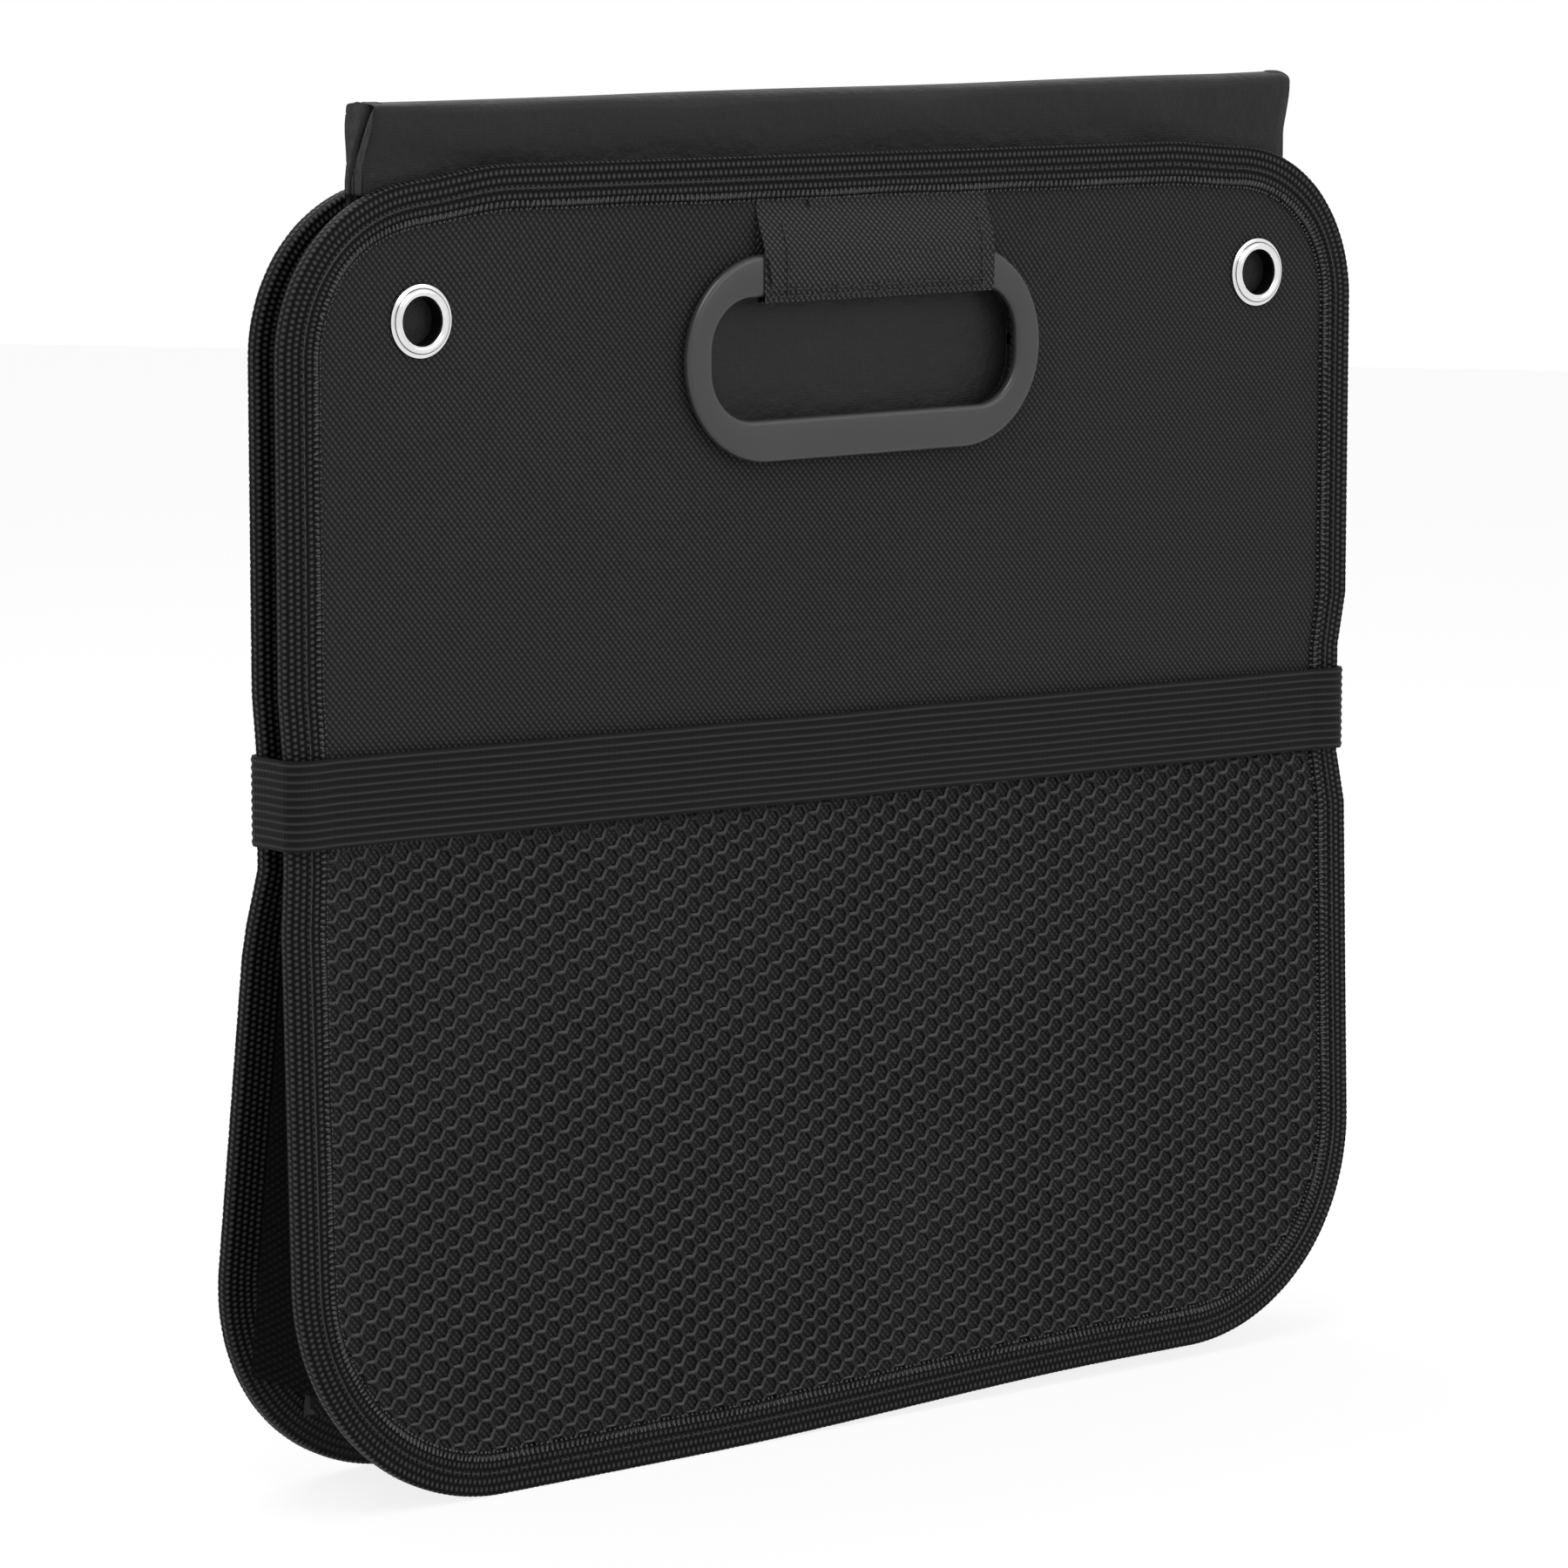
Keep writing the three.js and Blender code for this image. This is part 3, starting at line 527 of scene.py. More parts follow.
def sew(bm, at, along, length, radius=stitch_radius):
    """One stitch: a short bar of thread lying along the cloth."""
    turn = along.to_track_quat("Z", "Y").to_matrix().to_4x4()
    bmesh.ops.create_cone(
        bm,
        cap_ends=True,
        segments=6,
        radius1=radius,
        radius2=radius,
        depth=length,
        matrix=Matrix.Translation(at) @ turn,
    )


def bead_height(run, across):
    """How high the tape stands at a place, from 0 in a gap to 1 on a bead; each row is half a bead on."""
    row = math.floor(across / bead_width)
    along = math.sin(math.pi * (run / bead_length + row / 2))
    return abs(along * math.sin(math.pi * across / bead_width))


def wander_at(edge, side):
    """By what share of its width the tape is wider or narrower at a place along the edge."""
    place = (edge.x * tape_wander_scale, edge.y * tape_wander_scale, len(side))
    return tape_wander * noise.noise(place)


stations, edge_run = edge_stations(tape_spacing)
bead_length = edge_run / round(edge_run / bead_length)
section = tape_section()
for side in ("front", "back"):

    def lay_tape(station, point):
        """A point of the tape: its edge wanders a little, and its beads stand up."""
        edge, outwards, run = station
        out, deep, way_out, way_deep, across = point
        out *= 1 + wander_at(edge, side) * share(-out / tape_width)
        rise = bead_rise * (bead_height(run, across) - 0.5)
        flat = edge + outwards * (out + way_out * min(rise, 0))
        return settle(side, flat.x, deep + way_deep * rise, flat.y)

    bm = sweep_closed(stations, edge_run, section, lay_tape)
    tape = finish_piece(bm, side + "_edge_tape", tape_yarn, sharp=75)
    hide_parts(side + "_binding")

    bm = bmesh.new()
    for edge, outwards, run in edge_stations(stitch_pitch)[0]:
        flat = edge + outwards * (tape_stitch_inset - tape_width)
        ahead = flat + Vector((-outwards.y, outwards.x)) * stitch_length
        at = settle(side, flat.x, tape_outer + bead_rise / 2, flat.y)
        sew(bm, at, settle(side, ahead.x, tape_outer + bead_rise / 2, ahead.y) - at, stitch_length)
    finish_piece(bm, side + "_tape_seam", thread)

    bm = bmesh.new()
    for edge, outwards, run in edge_stations(loop_pitch)[0]:
        along = Vector((-outwards.y, outwards.x)) * noise.noise((run * 900, 0, len(side))) * loop_lean
        inner = edge - outwards * (tape_width * (1 + wander_at(edge, side)) + loop_reach) + along
        outer = inner + outwards * loop_length - 2 * along
        foot = settle(side, inner.x, tape_outer - loop_drop, inner.y)
        top = settle(side, outer.x, tape_outer + bead_rise / 2, outer.y)
        sew(bm, (foot + top) / 2, top - foot, (top - foot).length, loop_radius)
    finish_piece(bm, side + "_tape_selvedge", selvedge)


# The folded base, whose satin cover shows above the panels and through the hand holes. It is one cloth,
# folded over both base boards and closed at its ends by a tuck that is sewn down.
base_low, base_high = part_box("base_cover")
base_low.x += 0.0022  # drawn in at both ends by the sewing
base_high.x -= 0.0016
base_high.z += 0.0003  # the fold stands up a little
fold_neck = panel_height + 0.0025
fold_half = 0.0052
base_half = 0.0031
base_cloth = 0.00025
fold_shoulder = 0.0036
end_depth = 0.020  # how far down the end flaps of the cover reach
tuck_depth = 0.0026
tuck_height = 0.017
tuck_start = 0.35  # where across the end the tuck ends at the foot, in half thicknesses
tuck_run = 1.1  # how far across it runs on its way up
tuck_width = 0.1
crease_offset = 0.42  # a second, shallower crease runs beside it
crease_width = 0.09
crease_share = 0.4
end_lean = 0.0022  # the left end widens downwards by this much
end_lean_height = 0.017
end_box = 0.012  # how far from the left end the fold is boxy
fold_ripple = 0.0006
fold_ripple_scale = 45
ripple_reach = 0.004
crest_dip = 0.0007  # how far the crest sinks along its length
crest_dip_reach = 0.02


def fold_levels(foot, neck, shoulder, crest):
    """Heights of the rows of a folded cloth, closer together round its fold."""
    levels = [foot + (neck - foot) * i / 24 for i in range(24)]
    levels += [neck + (shoulder - neck) * i / 8 for i in range(8)]
    levels += [shoulder + (crest - shoulder) * math.sin(math.pi / 2 * i / 10) for i in range(10)]
    return levels + [crest]


def lean_out(z, crest):
    """How far the left end stands out at a height."""
    return end_lean * (1 - share((z - crest + end_lean_height) / end_lean_height))


def fold_profile(z, narrow, wide, neck, shoulder, crest, boxy=0.0):
    """Half the thickness of a folded cloth at a height."""
    if z <= shoulder:
        return narrow + (wide - narrow) * ease((z - neck) / (shoulder - neck))
    rise = (z - shoulder) / (crest - shoulder)
    return wide * math.sqrt(max(0, 1 - rise ** (3 + 12 * boxy)))


def crest_wave(x):
    """How far the fold's crest lies below its highest point along its length."""
    wave = 0.5 + 0.5 * noise.noise((x * 14, 0.3, 0))
    return crest_dip * wave * share(abs(base_high.x - x) / crest_dip_reach)


def folded_cloth(narrow, wide, neck, shoulder, low, high, columns, wavy):
    """A cloth that goes up behind the front panel, over its fold and down before the back panel."""
    count = len(fold_levels(low.z, neck, shoulder, high.z)) - 1
    bm = new_grid(columns, 2 * count)
    spots = [(v, v.co.x + 0.5, round((v.co.y + 0.5) * 2 * count)) for v in bm.verts]
    for v, u, j in spots:
        x = low.x + (high.x - low.x) * u
        drop = crest_wave(x) if wavy else 0
        crest = high.z - drop
        z = fold_levels(low.z, neck, shoulder - drop, crest)[count - abs(j - count)]
        boxy = math.exp(-(x - low.x) / end_box) if wavy else 0
        half = fold_profile(z, narrow, wide, neck, shoulder - drop, crest, boxy)
        ripple = 0
        if wavy:
            x -= lean_out(z, crest) * (1 - u) ** 8
            ripple = fold_ripple * share((z - neck) / ripple_reach)
            ripple *= noise.noise((x * fold_ripple_scale, j * 0.12, 2))
        side, way = ("front", -1) if j < count else ("back", 1)
        v.co = (x, middle + way * half + ripple + spread(side, z), z)
    bmesh.ops.recalc_face_normals(bm, faces=bm.faces)
    if sum(face.normal.z for face in bm.faces if face.calc_center_median().z > high.z - 0.002) < 0:
        bmesh.ops.reverse_faces(bm, faces=bm.faces)
    return bm


def close_end(bm, x_end, way):
    """The end flap over the fold: folded in like a parcel's, with a tuck that runs down its middle."""
    before = set(bm.verts)
    bmesh.ops.create_grid(bm, x_segments=40, y_segments=50, size=0.5)
    drop = crest_wave(x_end)
    crest, shoulder = base_high.z - drop, base_high.z - drop - fold_shoulder
    for v in [v for v in bm.verts if v not in before]:
        across, up = 2 * v.co.x, v.co.y + 0.5
        z = crest - end_depth * (1 - math.sin(math.pi / 2 * up))
        half = fold_profile(z, base_half, fold_half, fold_neck, shoulder, crest, float(way < 0))
        rise = share((z - crest + tuck_height) / tuck_height)
        off_seam = across - tuck_start + tuck_run * rise**1.4
        tuck = math.exp(-((off_seam / (tuck_width + 0.12 * rise**6)) ** 2))
        crease = math.exp(-(((off_seam + crease_offset * (1 - rise)) / crease_width) ** 2))
        lean = lean_out(z, crest) if way < 0 else 0
        out = lean - tuck_depth * (tuck + crease_share * crease)
        v.co = (x_end + way * out, middle + across * half, z)


shoulder = base_high.z - fold_shoulder
bm = folded_cloth(base_half, fold_half, fold_neck, shoulder, base_low, base_high, 110, True)
for x_end, way in ((base_low.x, -1), (base_high.x, 1)):
    close_end(bm, x_end, way)
bmesh.ops.remove_doubles(bm, verts=bm.verts, dist=0.00005)
map_cloth(bm, lambda co: (co.x, co.z))
cover = finish_piece(bm, "base_cover_cloth", satin)
thick = cover.modifiers.new("cloth", "SOLIDIFY")
thick.thickness = base_cloth
thick.offset = -1
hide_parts("base_cover")

# The woven underside lies folded inside the satin, between the two base boards.
under_low, under_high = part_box("base_underside")
under_half = 0.00105
under_fold = 0.0008
bend = under_high.z - under_fold
bm = folded_cloth(under_half, under_half, bend - 0.001, bend, under_low, under_high, 40, False)
bmesh.ops.solidify(bm, geom=bm.faces[:], thickness=base_cloth)
map_cloth(bm, lambda co: (co.x, co.z))
underside = finish_piece(bm, "base_underside_cloth", cover_cloth)
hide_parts("base_underside")


# Side walls: the woven cloth between the end panels, folded inwards as one pleat at each side.
# Only its lower ends show, where the panels part.
# The side walls are the covers' cloth, painted darker as painted shade, for they stand back between the
# parted panels.
wall_shaded_cloth = woven_cloth(
    "side_wall_polyester_painted_shade", "#070707", "#1c1c1d", 0.0012, weave_lean, 0.00022, 0.8, 0.05
)
wall_thickness = 0.00035
wall_seam_inset = 0.0088
wall_clearance = 0.00015  # off the inner face of the edge tape
wall_foot_slope = 0.45
wall_foot_drop = 0.004
wall_top_slope = 0.8
wall_slack = 0.0008
for hand, sign in (("left", -1), ("right", 1)):
    wall_low, wall_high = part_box(hand + "_side_wall")
    outer_x = half_width - wall_seam_inset
    fold_x = (wall_high.x if sign < 0 else wall_low.x) + sign * wall_thickness
    depth_of_pleat = abs(outer_x - abs(fold_x))
    mouth = tape_inner * (1 - edge_squeeze) - wall_clearance
    foot = wall_low.z + wall_foot_slope * depth_of_pleat - wall_foot_drop
    top = wall_high.z - wall_top_slope * depth_of_pleat
    bm = new_grid(24, 80)
    map_cloth(bm, lambda co: (co.x * 2 * depth_of_pleat, co.y * (top - foot)))
    for v in bm.verts:
        across, up = 2 * v.co.x, v.co.y + 0.5
        inwards = depth_of_pleat * (1 - abs(across) ** 1.2)
        z = foot + (top - foot) * up
        z += -wall_foot_slope * inwards * (1 - up) + wall_top_slope * inwards * up
        drift = spread("front", z) * (0.5 - across / 2) + spread("back", z) * (0.5 + across / 2)
        y = middle + across * mouth + drift
        slack = wall_slack * noise.noise((y * 60, z * 30, sign)) * share(inwards / 0.004)
        x = sign * (outer_x - inwards) + slack
        v.co = (settle("front", x, 0, z).x, y, z)
    bmesh.ops.solidify(bm, geom=bm.faces[:], thickness=wall_thickness)
    wall = finish_piece(bm, hand + "_side_wall_cloth", wall_shaded_cloth)
    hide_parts(hand + "_side_wall")


# Eyelets in the panels' upper corners: drawn from brass strip, rolled over and nickel plated, with a
# washer on the inside. The roll is bright all round, and a thin step runs round its outer rim.
nickel, tree, shader, wear = mottled(
    "bright_nickel_plate", "#d6d6d6", "#ececec", 220, 4, 0.13, metallic=1.0
)
dull = add_node(tree, "MapRange", {3: 0.08, 4: 0.2}, {0: wear})
tree.links.new(dull.outputs[0], shader.inputs["Roughness"])

# The barrel is pressed out of the thin part of the strip. It and the bore are painted dark as painted
# shade, down in the hole.
barrel_shaded_metal = mottled("barrel_metal_painted_shade", "#141414", "#303030", 400, 3, 0.5, metallic=1.0)[0]

eyelet_bore = 0.0053
eyelet_wall = 0.0005
eyelet_roll = 0.0021
eyelet_rim = 0.00035
eyelet_rise = 0.0014
eyelet_edge = 0.0001  # the rim's edges are rounded by this much
eyelet_face = 0.0064  # depth of the flange's back
flat_height = 0.2  # the panels stand flat and upright here


def on_panel(side, x, depth, z):
    """Where a point of a part lies that doesn't bend with the panel behind it."""
    return settle(side, 0, depth, flat_height) + Vector((x, 0, z - flat_height))


for side in ("front", "back"):
    for hand in ("left", "right"):
        low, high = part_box(f"{side}_{hand}_eyelet")
        outer = (high.x - low.x) / 2
        profile = [(eyelet_bore, tape_inner), (eyelet_bore + eyelet_wall, tape_inner)]
        profile += [(eyelet_bore + eyelet_wall, eyelet_face), (outer - eyelet_edge, eyelet_face)]
        rim = eyelet_face + eyelet_rim
        profile += [(outer, eyelet_face + eyelet_edge), (outer, rim - eyelet_edge)]
        profile += [(outer - eyelet_edge, rim)]
        for i in range(13):
            angle = math.pi * i / 12
            radius = eyelet_bore + eyelet_roll / 2 * (1 + math.cos(angle))
            profile.append((radius, rim + (eyelet_rise - eyelet_rim) * math.sin(angle)))
        bm = bmesh.new()
        ring = [bm.verts.new((radius, 0, depth)) for radius, depth in profile]
        edges = [bm.edges.new((ring[i - 1], ring[i])) for i in range(len(ring))]
        lathe = {"axis": (0, 0, 1), "steps": 64, "angle": 2 * math.pi, "use_merge": True}
        bmesh.ops.spin(bm, geom=ring + edges, **lathe)
        bmesh.ops.remove_doubles(bm, verts=bm.verts, dist=1e-7)
        for face in bm.faces:
            # Faces below the flange's back take the barrel's painted shade.
            face.material_index = int(face.calc_center_median().z < eyelet_face)
        x, z = (low.x + high.x) / 2, (low.z + high.z) / 2
        for v in bm.verts:
            v.co = on_panel(side, x + v.co.x, v.co.z, z + v.co.y)
        eyelet = finish_piece(bm, f"{side}_{hand}_rolled_eyelet", nickel, sharp=50)
        eyelet.data.materials.append(barrel_shaded_metal)
        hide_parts(f"{side}_{hand}_eyelet")
        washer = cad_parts[f"{side}_{hand}_washer"]
        washer.data.materials.clear()
        washer.data.materials.append(nickel)


# Handle rings: injection-moulded dark grey polypropylene with a rounded outer edge, each hanging by
# its upper bar in a cloth loop in front of the hand hole.
ring_bevel = 0.0012
ring_corner_gap = 0.0002  # short of fully round ends
ring_hole_radius = 0.0118
moulded, tree, shader = mottled("moulded_grey_polypropylene", "#303030", "#373737", 35, 3, 0.32)[:3]
place = add_node(tree, "TexCoord")
grain = add_node(tree, "TexNoise", {"Scale": 2500, "Detail": 2}, {"Vector": place.outputs["Object"]})
skin = add_node(tree, "Bump", {"Strength": 0.25, "Distance": 0.00004}, {"Height": grain})
tree.links.new(skin.outputs[0], shader.inputs["Normal"])


def rounded_loop(bm, half_x, half_z, radius, y):
    """A closed loop of edges along a rectangle with round corners."""
    loop = []
    for i in range(4):
        side_x, side_z = (1, 1, -1, -1)[i], (-1, 1, 1, -1)[i]
        for j in range(17):
            angle = math.pi / 2 * (i - 1 + j / 16)
            x = side_x * (half_x - radius) + radius * math.cos(angle)
            z = side_z * (half_z - radius) + radius * math.sin(angle)
            loop.append(bm.verts.new((x, y, z)))
    return [bm.edges.new((loop[i - 1], loop[i])) for i in range(len(loop))]


for side in ("front", "back"):
    low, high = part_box(side + "_handle_ring")
    centre = (low + high) / 2
    half_x, half_z, half_y = (high - low).x / 2, (high - low).z / 2, (high - low).y / 2
    bm = bmesh.new()
    edges = rounded_loop(bm, half_x, half_z, half_z - ring_corner_gap, half_y)
    edges += rounded_loop(bm, half_x - ring_end_bar, half_z - ring_bar, ring_hole_radius, half_y)
    bmesh.ops.bridge_loops(bm, edges=edges)
    solid = bmesh.ops.extrude_face_region(bm, geom=bm.faces[:])
    bmesh.ops.translate(bm, vec=(0, -2 * half_y, 0), verts=only_verts(solid["geom"]))
    bmesh.ops.recalc_face_normals(bm, faces=bm.faces)
    rims = [e for e in bm.edges if e.calc_face_angle(0) > math.radians(60)]
    round_off = {"affect": "EDGES", "segments": 4, "profile": 0.5, "material": -1}
    bmesh.ops.bevel(bm, geom=rims, offset=ring_bevel, **round_off)
    bmesh.ops.translate(bm, vec=centre, verts=bm.verts)
    ring = finish_piece(bm, side + "_ring", moulded, body=side + "_handle", sharp=35)
    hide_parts(side + "_handle_ring")


# Handle straps: a strip of the cover cloth with hemmed sides, looped round the ring's upper bar. Its
# ends are caught under the edge tape.
strap_thickness = 0.0004
strap_hem_left = 0.0065
strap_hem_right = 0.0037
strap_stitch = 0.0024  # from one stitch to the next
strap_stitch_share = 0.7
strap_stitch_step = 0.0004  # over which a stitch takes its lean from the cloth
strap_rows = (0.0014, 0.0030)  # of the two rows of stitches above its lower fold
strap_top = panel_height - 0.0065
strap_behind = 0.0066  # depths of its two layers
strap_before = 0.0099
strap_sag = 0.0002
# Its gaps hold painted shade and its thread tops painted light, from woven_cloth.
strap_cloth = woven_cloth(
    "woven_strap_cloth", "#0b0b0c", "#4e4e50", 0.00115, weave_lean, 0.0003, 0.7, 0.15
)


def strap_path(low_z):
    """The strap's middle line, from under the tape down its front, round the bar and up behind."""
    behind, before = strap_behind, strap_before
    pinch = panel_height - tape_width
    points = [(0.00655, strap_top), (0.0066, pinch + 0.0002), (0.00705, pinch - 0.0012)]
    points += interpolate_bezier(
        Vector((0.00755, pinch - 0.0026)),
        Vector((0.00885, pinch - 0.0062)),
        Vector((before, pinch - 0.0080)),
        Vector((before, pinch - 0.0105)),
        8,
    )
    bottom = low_z + strap_thickness
    points += [(before, bottom + 0.0035), (before, bottom + 0.0006), (before - 0.0003, bottom)]
    points += [((before + behind) / 2, bottom - 0.0001), (behind + 0.0003, bottom)]
    points += [(behind, bottom + 0.0006), (behind, bottom + 0.006), (behind, pinch - 0.004)]
    points += [(behind, pinch - 0.0014)]
    return points


def depth_at(path, z):
    """Depth of the strap's front at a height."""
    for (depth, high_z), (low_depth, low_z) in zip(path, path[1:]):
        if low_z <= z <= high_z:
            return depth + (low_depth - depth) * (high_z - z) / (high_z - low_z)


for side in ("front", "back"):
    low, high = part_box(side + "_handle_strap")
    path = strap_path(low.z)
    last = len(path) - 1
    bm = new_grid(60, last)
    layer = bm.loops.layers.uv.verify()
    runs = [0.0]
    for a, b in zip(path, path[1:]):
        runs.append(runs[-1] + math.dist(a, b))
    spots = {v: (v.co.x + 0.5, round((v.co.y + 0.5) * last)) for v in bm.verts}
    for face in bm.faces:
        for loop in face.loops:
            u, i = spots[loop.vert]
            loop[layer].uv = (u * (high.x - low.x), -runs[i])
    for v, (u, i) in spots.items():
        depth, z = path[i]
        x = low.x + (high.x - low.x) * u
        v.co = on_panel(side, x, depth + strap_sag * noise.noise((x * 70, z * 70, 5)), z)
    bmesh.ops.solidify(bm, geom=bm.faces[:], thickness=strap_thickness)
    cloth = set(bm.faces)
    rise = strap_thickness / 2 + stitch_radius / 3
    stitch = strap_stitch_share * strap_stitch
    length = panel_height - tape_width - low.z
    for x in (low.x + strap_hem_left, high.x - strap_hem_right):
        for i in range(1, int(length / strap_stitch)):
            z = low.z + strap_stitch * i
            at = on_panel(side, x, depth_at(path, z) + rise, z)
            above = z + strap_stitch_step
            sew(bm, at, on_panel(side, x, depth_at(path, above) + rise, above) - at, stitch)
    for row in strap_rows:
        z = low.z + row
        for i in range(1, int((high.x - low.x) / strap_stitch)):
            at = on_panel(side, low.x + strap_stitch * i, depth_at(path, z) + rise, z)
            sew(bm, at, Vector((1, 0, 0)), stitch)
    for face in bm.faces:
        face.material_index = int(face not in cloth)
    strap = finish_piece(bm, side + "_strap", strap_cloth, body=None)
    strap.data.materials.append(thread)
    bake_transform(strap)
    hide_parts(side + "_handle_strap")


# Net pocket on the lower half of the front panel: a knitted polyester net of hexagons, stretched flat.
# Its sides and foot are caught in the edge tape, and its top in a hem under the elastic band.
net_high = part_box("front_net_pocket")[1]
hem_low, hem_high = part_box("front_pocket_hem")
net_side = 0.0026  # of one hexagon
net_thread = 0.00075
net_ridge = 0.0003  # how far a strand's middle stands above its sides
net_strand_depth = 0.0003
net_depth = 0.0070
net_edge_depth = 0.0066  # where the net runs in under the tape and the hem
net_edge = tape_width - 0.001
net_tuck = 0.004  # how far it rises above the hem's foot, and over which it comes up from the seams
net_slack = 0.0003
net_pull = 0.0004  # how far its knots are off their places
net_pull_scale = 90
net_front_share = 0.3  # a strand's faces count as its front from this slant on
net_highlight_slope = 0.4
net_yarn, tree, shader, strands = mottled(
    "knitted_polyester_net", "#090909", "#171717", 900, 3, 0.3, 0.22
)
ply = add_node(tree, "Bump", {"Strength": 0.5, "Distance": 0.0001}, {"Height": strands})
tree.links.new(ply.outputs[0], shader.inputs["Normal"])

# Painted highlight: on the strands that run up to the right, the side that faces the upper left is painted
# lighter, where the lamp catches it.
highlight_yarn = mottled("net_painted_highlight", "#0c0c0c", "#424242", 400, 3, 0.3, 0.3)[0]

bm = bmesh.new()
row_height = net_side * math.sqrt(3)
columns = math.ceil(half_width / (1.5 * net_side)) // 2 * 2 + 2
rows = math.ceil((net_high.z - net_edge) / row_height) + 2
bmesh.ops.create_circle(
    bm, cap_ends=True, radius=net_side, segments=6, matrix=Matrix.Rotation(math.pi / 6, 4, "Z")
)
cell = bm.verts[:] + bm.edges[:] + bm.faces[:]
copy = bmesh.ops.duplicate(bm, geom=cell)["geom"]
bmesh.ops.translate(bm, vec=(1.5 * net_side, row_height / 2, 0), verts=only_verts(copy))
repeat = {"axis": (0, 0, 1), "angle": 0, "use_duplicate": True}
for steps, way in ((columns, (3 * net_side, 0, 0)), (rows, (0, row_height, 0))):
    bmesh.ops.spin(bm, geom=bm.verts[:] + bm.edges[:] + bm.faces[:], dvec=way, steps=steps, **repeat)
bmesh.ops.remove_doubles(bm, verts=bm.verts, dist=net_side / 20)
bmesh.ops.translate(bm, vec=(-columns * 1.5 * net_side, net_edge - net_side, 0), verts=bm.verts)
net_top = net_high.z + net_tuck
outside = []
for face in bm.faces:
    x, y = face.calc_center_median().xy
    if y > net_top or panel_outline(x, y, net_edge) > 0:
        outside.append(face)
bmesh.ops.delete(bm, geom=outside, context="FACES")
openings = bm.faces[:]
bmesh.ops.inset_individual(bm, faces=openings, thickness=net_thread / 2, depth=-net_ridge)
bmesh.ops.delete(bm, geom=openings, context="FACES_ONLY")
bmesh.ops.recalc_face_normals(bm, faces=bm.faces)
bmesh.ops.solidify(bm, geom=bm.faces[:], thickness=net_strand_depth)
bm.normal_update()
for face in bm.faces:
    # Faces that face forward and toward the upper left take the painted highlight.
    slope = (face.normal.y - face.normal.x) / math.sqrt(2)
    face.material_index = int(abs(face.normal.z) > net_front_share and slope > net_highlight_slope)
for v in bm.verts:
    inside = min(-panel_outline(v.co.x, v.co.y, tape_width), hem_low.z - v.co.y)
    loose = share(inside / net_tuck)
    slack = net_slack * noise.noise((v.co.x * 30, v.co.y * 30, 7))
    v.co.z += net_edge_depth + (net_depth - net_edge_depth + slack) * loose
    v.co.x += net_pull * noise.noise((v.co.x * net_pull_scale, v.co.y * net_pull_scale, 1))
    v.co.y += net_pull * noise.noise((v.co.x * net_pull_scale, v.co.y * net_pull_scale, 4))
    v.co = settle("front", v.co.x, v.co.z, v.co.y)
net = finish_piece(bm, "pocket_net", net_yarn, sharp=60)
net.data.materials.append(highlight_yarn)
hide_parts("front_net_pocket")

# The pocket's hem is a flat piece of the edge tape, sewn across the net's top.
hem_gap = 0.0003
hem_width = 2 * (half_width - tape_width - hem_gap)
hem_face = 0.00725
hem_thickness = 0.0006
bm = new_grid(90, 6)
for v in bm.verts:
    v.co = (hem_width * v.co.x, hem_low.z + (hem_high.z - hem_low.z) * (v.co.y + 0.5), hem_face)
bmesh.ops.solidify(bm, geom=bm.faces[:], thickness=hem_thickness)
map_cloth(bm)
for v in bm.verts:
    v.co = settle("front", v.co.x, v.co.z, v.co.y)
hem = finish_piece(bm, "pocket_hem_tape", tape_yarn)
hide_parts("front_pocket_hem")


# Elastic band round the folded box: a woven elastic 20 mm wide with rubber cores that show as ribs.
# It is sewn to a closed loop, and it bites into the panels' side edges.
band_width = 0.020
band_thickness = 0.0007
band_rib = 0.00025
band_ribs = 11
band_slope = -0.0145
band_flat_depth = 0.0074
band_edge_depth = tape_outer * (1 - edge_squeeze)
band_corner_lift = 0.0025
band_corner_turn = 0.0015
band_edge_gap = 0.0003
band_spacing = 0.004
band_pick = 0.0009  # from one cross thread to the next
band_wave = 0.0003
elastic, tree, shader = new_material("ribbed_woven_elastic", 0.6, 0.12)
place = add_node(tree, "TexCoord")
rows = {"bands_direction": "Y", "Scale": math.pi / 10 / (band_width / band_ribs)}
ribs = add_node(tree, "TexWave", rows, {"Vector": place.outputs["UV"]})
picks = add_node(tree, "TexWave", {"Scale": math.pi / 10 / band_pick}, {"Vector": place.outputs["UV"]})
# Painted light on the ribs' crowns and painted shade in the hollows between them.
ridge_light = add_node(tree, "Math", {"operation": "POWER", 1: 5.0}, {0: ribs.outputs[1]})
tint = add_node(tree, "Mix", shades("#0c0c0c", "#333333"), {0: ridge_light})
relief = add_node(tree, "Bump", {"Strength": 0.6, "Distance": 0.00012}, {"Height": picks.outputs[1]})
tree.links.new(tint.outputs[2], shader.inputs["Base Color"])
tree.links.new(relief.outputs[0], shader.inputs["Normal"])


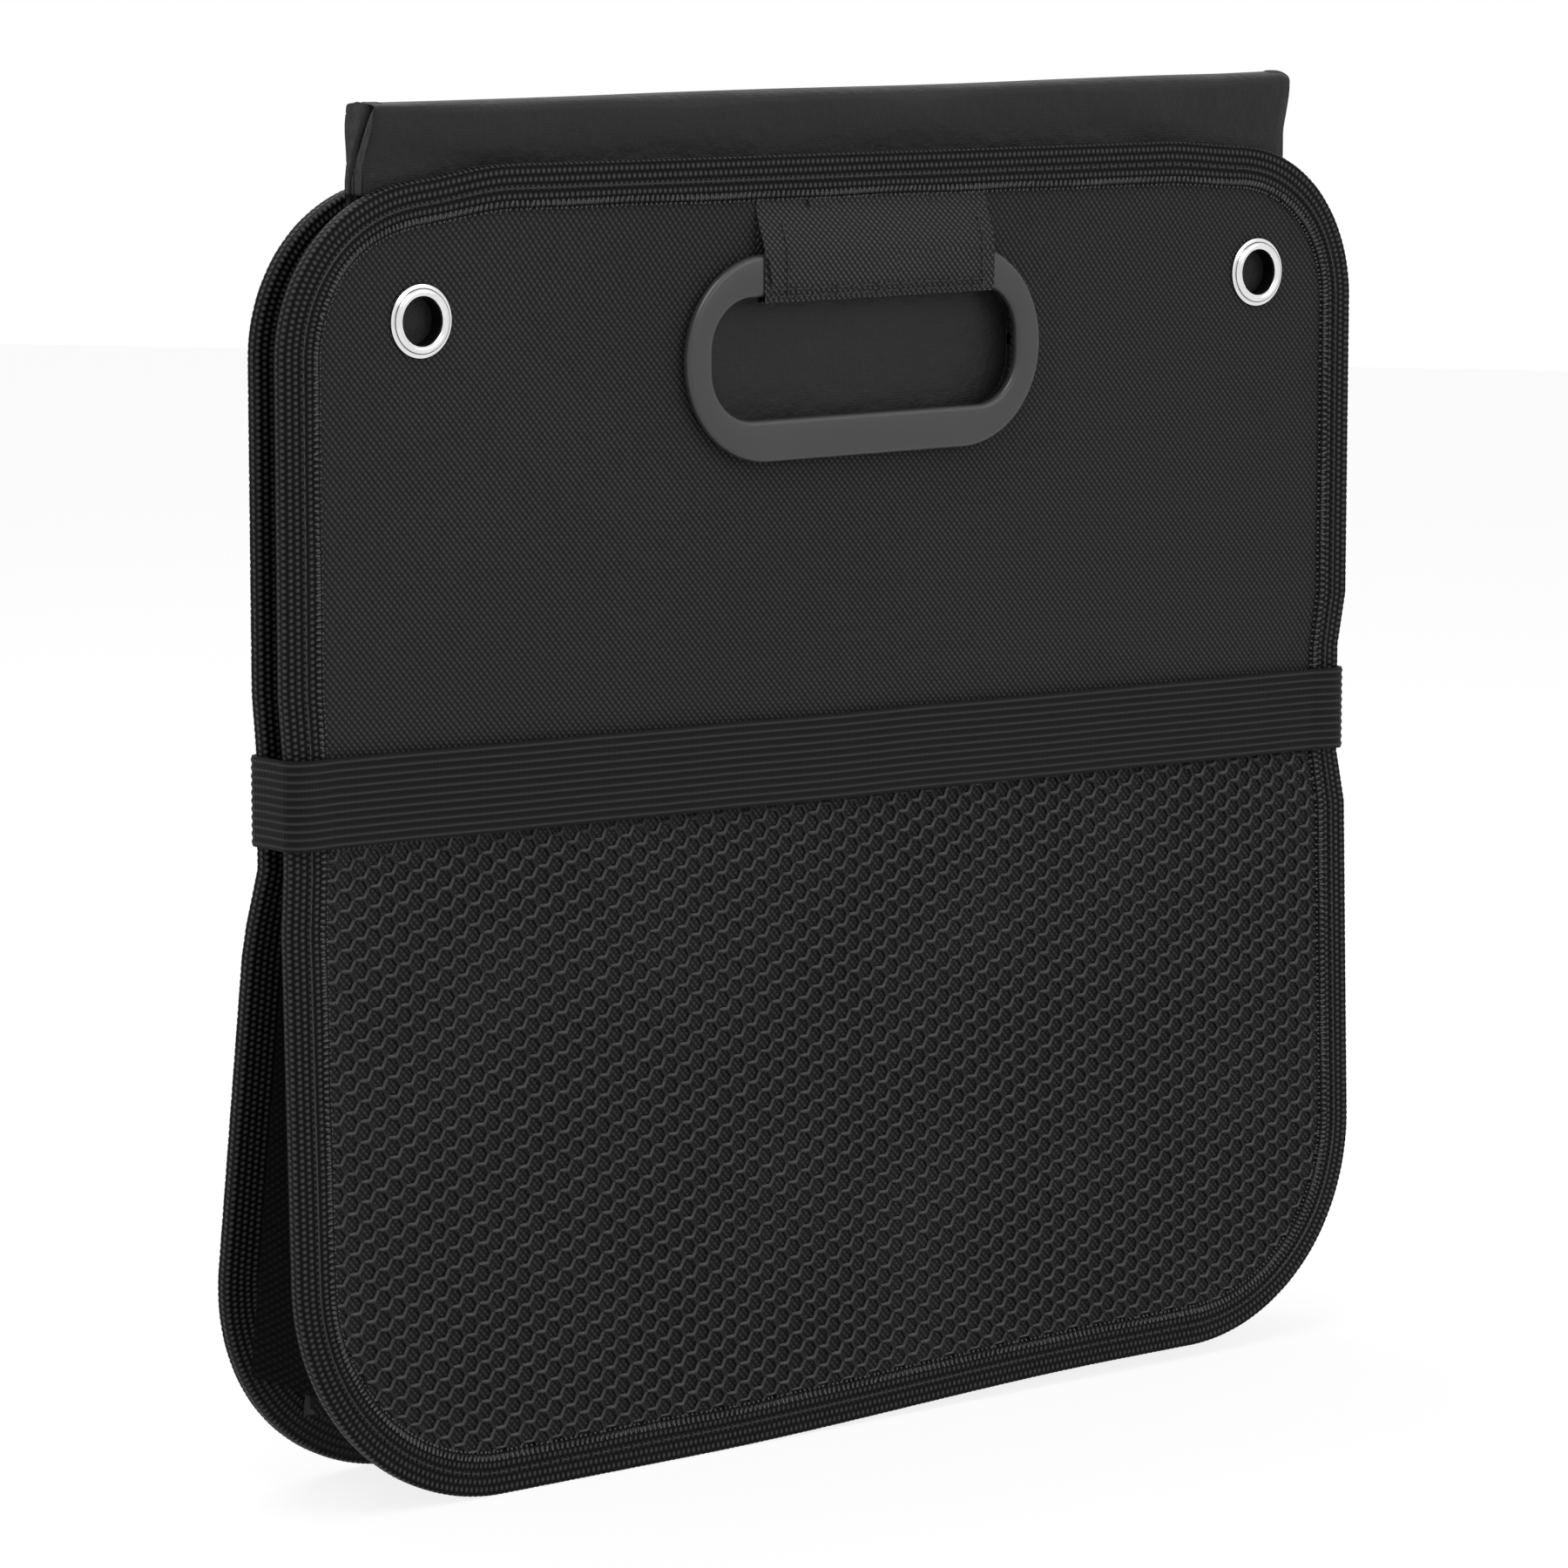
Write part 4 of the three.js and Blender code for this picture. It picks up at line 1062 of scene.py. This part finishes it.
def band_stations():
    """Places round the folded box with the way outwards and the run, seen from above."""
    line = []
    for side_x, side_y, back in ((1, -1, False), (1, 1, True), (-1, 1, False), (-1, -1, True)):
        edge = half_width - (bite_right if side_x > 0 else bite_left)
        flat_x = half_width - squeeze_reach
        lifted = band_edge_depth + band_corner_lift
        curve = interpolate_bezier(
            Vector((flat_x, band_flat_depth)),
            Vector(((flat_x + edge) / 2, (band_flat_depth + lifted) / 2)),
            Vector((edge + band_edge_gap, lifted)),
            Vector((edge + band_edge_gap, band_edge_depth - band_corner_turn)),
            16,
        )
        corner = [Vector((side_x * p[0], side_y * p[1])) for p in curve]
        line += corner[::-1] if back else corner
    full = []
    for i, point in enumerate(line):
        following = line[(i + 1) % len(line)]
        steps = max(1, round((following - point).length / band_spacing))
        full += [point.lerp(following, j / steps) for j in range(steps)]
    stations = []
    run = 0.0
    for i, point in enumerate(full):
        following = full[(i + 1) % len(full)]
        along = (following - full[i - 1]).normalized()
        stations.append((point, Vector((along.y, -along.x)), run))
        run += (following - point).length
    return stations, run


def band_section():
    """The band's closed section: how far out, how high, and the run across."""
    points = [(0, -band_width / 2, 0), (band_thickness, -band_width / 2, 0)]
    for i in range(band_ribs * 6 + 1):
        across = band_width * i / (band_ribs * 6)
        rib = abs(math.sin(math.pi * across / band_width * band_ribs)) ** 3
        points.append((band_thickness + band_rib * rib, across - band_width / 2, across))
    points.append((0, band_width / 2, band_width))
    return points


def lay_band(station, point):
    """A point of the band, which lies a little lower at the right and waves slightly."""
    at, outwards, run = station
    out, up, across = point
    flat = at + outwards * out
    wave = band_wave * noise.noise((at.x * 25, at.y * 60, 3))
    return Vector((flat.x, middle + flat.y, band_centre + band_slope * at.x + up + wave))


stations, closed_run = band_stations()
bm = sweep_closed(stations, closed_run, band_section(), lay_band)
band = finish_piece(bm, "elastic_loop", elastic, sharp=60)
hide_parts("elastic_band")


# The studio: a white floor that sweeps up into a backdrop, a soft lamp high at the left, a weaker one
# at the right and one behind, and an even sky. The camera stands low at the left, far off with a long
# lens.
aim = Vector((-0.018462, -0.01458, 0.153091))
camera_azimuth = -39.059
camera_elevation = 8.356
camera_distance = 1.52326
floor_half = 3.0
sweep_radius = 1.0
floor_turn = math.radians(39)


def rays_seen(tree):
    """1 for the rays of the camera, of reflections and through glass, and 0 for the rest."""
    path = add_node(tree, "LightPath")
    seen = path.outputs["Is Camera Ray"]
    for ray in ("Is Glossy Ray", "Is Transmission Ray"):
        seen = add_node(tree, "Math", {"operation": "MAXIMUM"}, {0: seen, 1: path.outputs[ray]})
    return seen


def look_from(name, data, azimuth, elevation, distance):
    """A lamp or a camera that looks at the object from a distance."""
    a, e = math.radians(azimuth), math.radians(elevation)
    away = Vector((math.sin(a) * math.cos(e), -math.cos(a) * math.cos(e), math.sin(e)))
    holder = bpy.data.objects.new(name, data)
    bpy.context.scene.collection.objects.link(holder)
    holder.location = aim + away * distance
    holder.rotation_euler = away.to_track_quat("Z", "Y").to_euler()
    return holder


bm = bmesh.new()
bmesh.ops.create_grid(bm, x_segments=1, y_segments=40, size=floor_half)
start = floor_half - sweep_radius * math.pi / 2
for v in bm.verts:
    angle = (v.co.y - start) / sweep_radius
    if angle > 0:
        v.co = (v.co.x, start + sweep_radius * math.sin(angle), sweep_radius * (1 - math.cos(angle)))
bmesh.ops.rotate(bm, cent=(0, 0, 0), matrix=Matrix.Rotation(floor_turn, 3, "Z"), verts=bm.verts)
paper, tree, shader = new_material("white_paper_backdrop", 0.9)
shader.inputs["Base Color"].default_value = srgb("#fafafa")
part = add_node(tree, "Math", {"operation": "MULTIPLY", 1: 0.8}, {0: rays_seen(tree)})
white = add_node(tree, "Emission", {"Color": (1, 1, 1, 1), "Strength": 1.06})
mixed = add_node(tree, "MixShader", None, {0: part, 1: shader, 2: white})
tree.links.new(mixed.outputs[0], tree.nodes["Material Output"].inputs[0])
floor = finish_piece(bm, "studio_floor", paper, body=None, closed=False)
floor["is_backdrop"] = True

world = bpy.data.worlds.new("studio")
bpy.context.scene.world = world
world.use_nodes = True
tree = world.node_tree
level = add_node(tree, "MapRange", {3: 0.5, 4: 1.0}, {0: rays_seen(tree)})
sky = tree.nodes["Background"]
sky.inputs[0].default_value = (1, 1, 1, 1)
tree.links.new(level.outputs[0], sky.inputs[1])

for name, azimuth, elevation, distance, size, power in (
    ("key", -55, 60, 1.6, 0.9, 10),
    ("fill", 25, 30, 1.8, 1.2, 6.5),
    ("top", 180, 60, 1.6, 1.0, 8),
):
    lamp = bpy.data.lights.new(name, "AREA")
    lamp.size = size
    lamp.energy = power
    look_from(name, lamp, azimuth, elevation, distance)

lens = bpy.data.cameras.new("camera")
lens.lens = 151.47
lens.sensor_width = 36
camera = look_from("camera", lens, camera_azimuth, camera_elevation, camera_distance)
bpy.context.scene.camera = camera
bpy.context.scene.view_settings.view_transform = "Standard"

low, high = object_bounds()
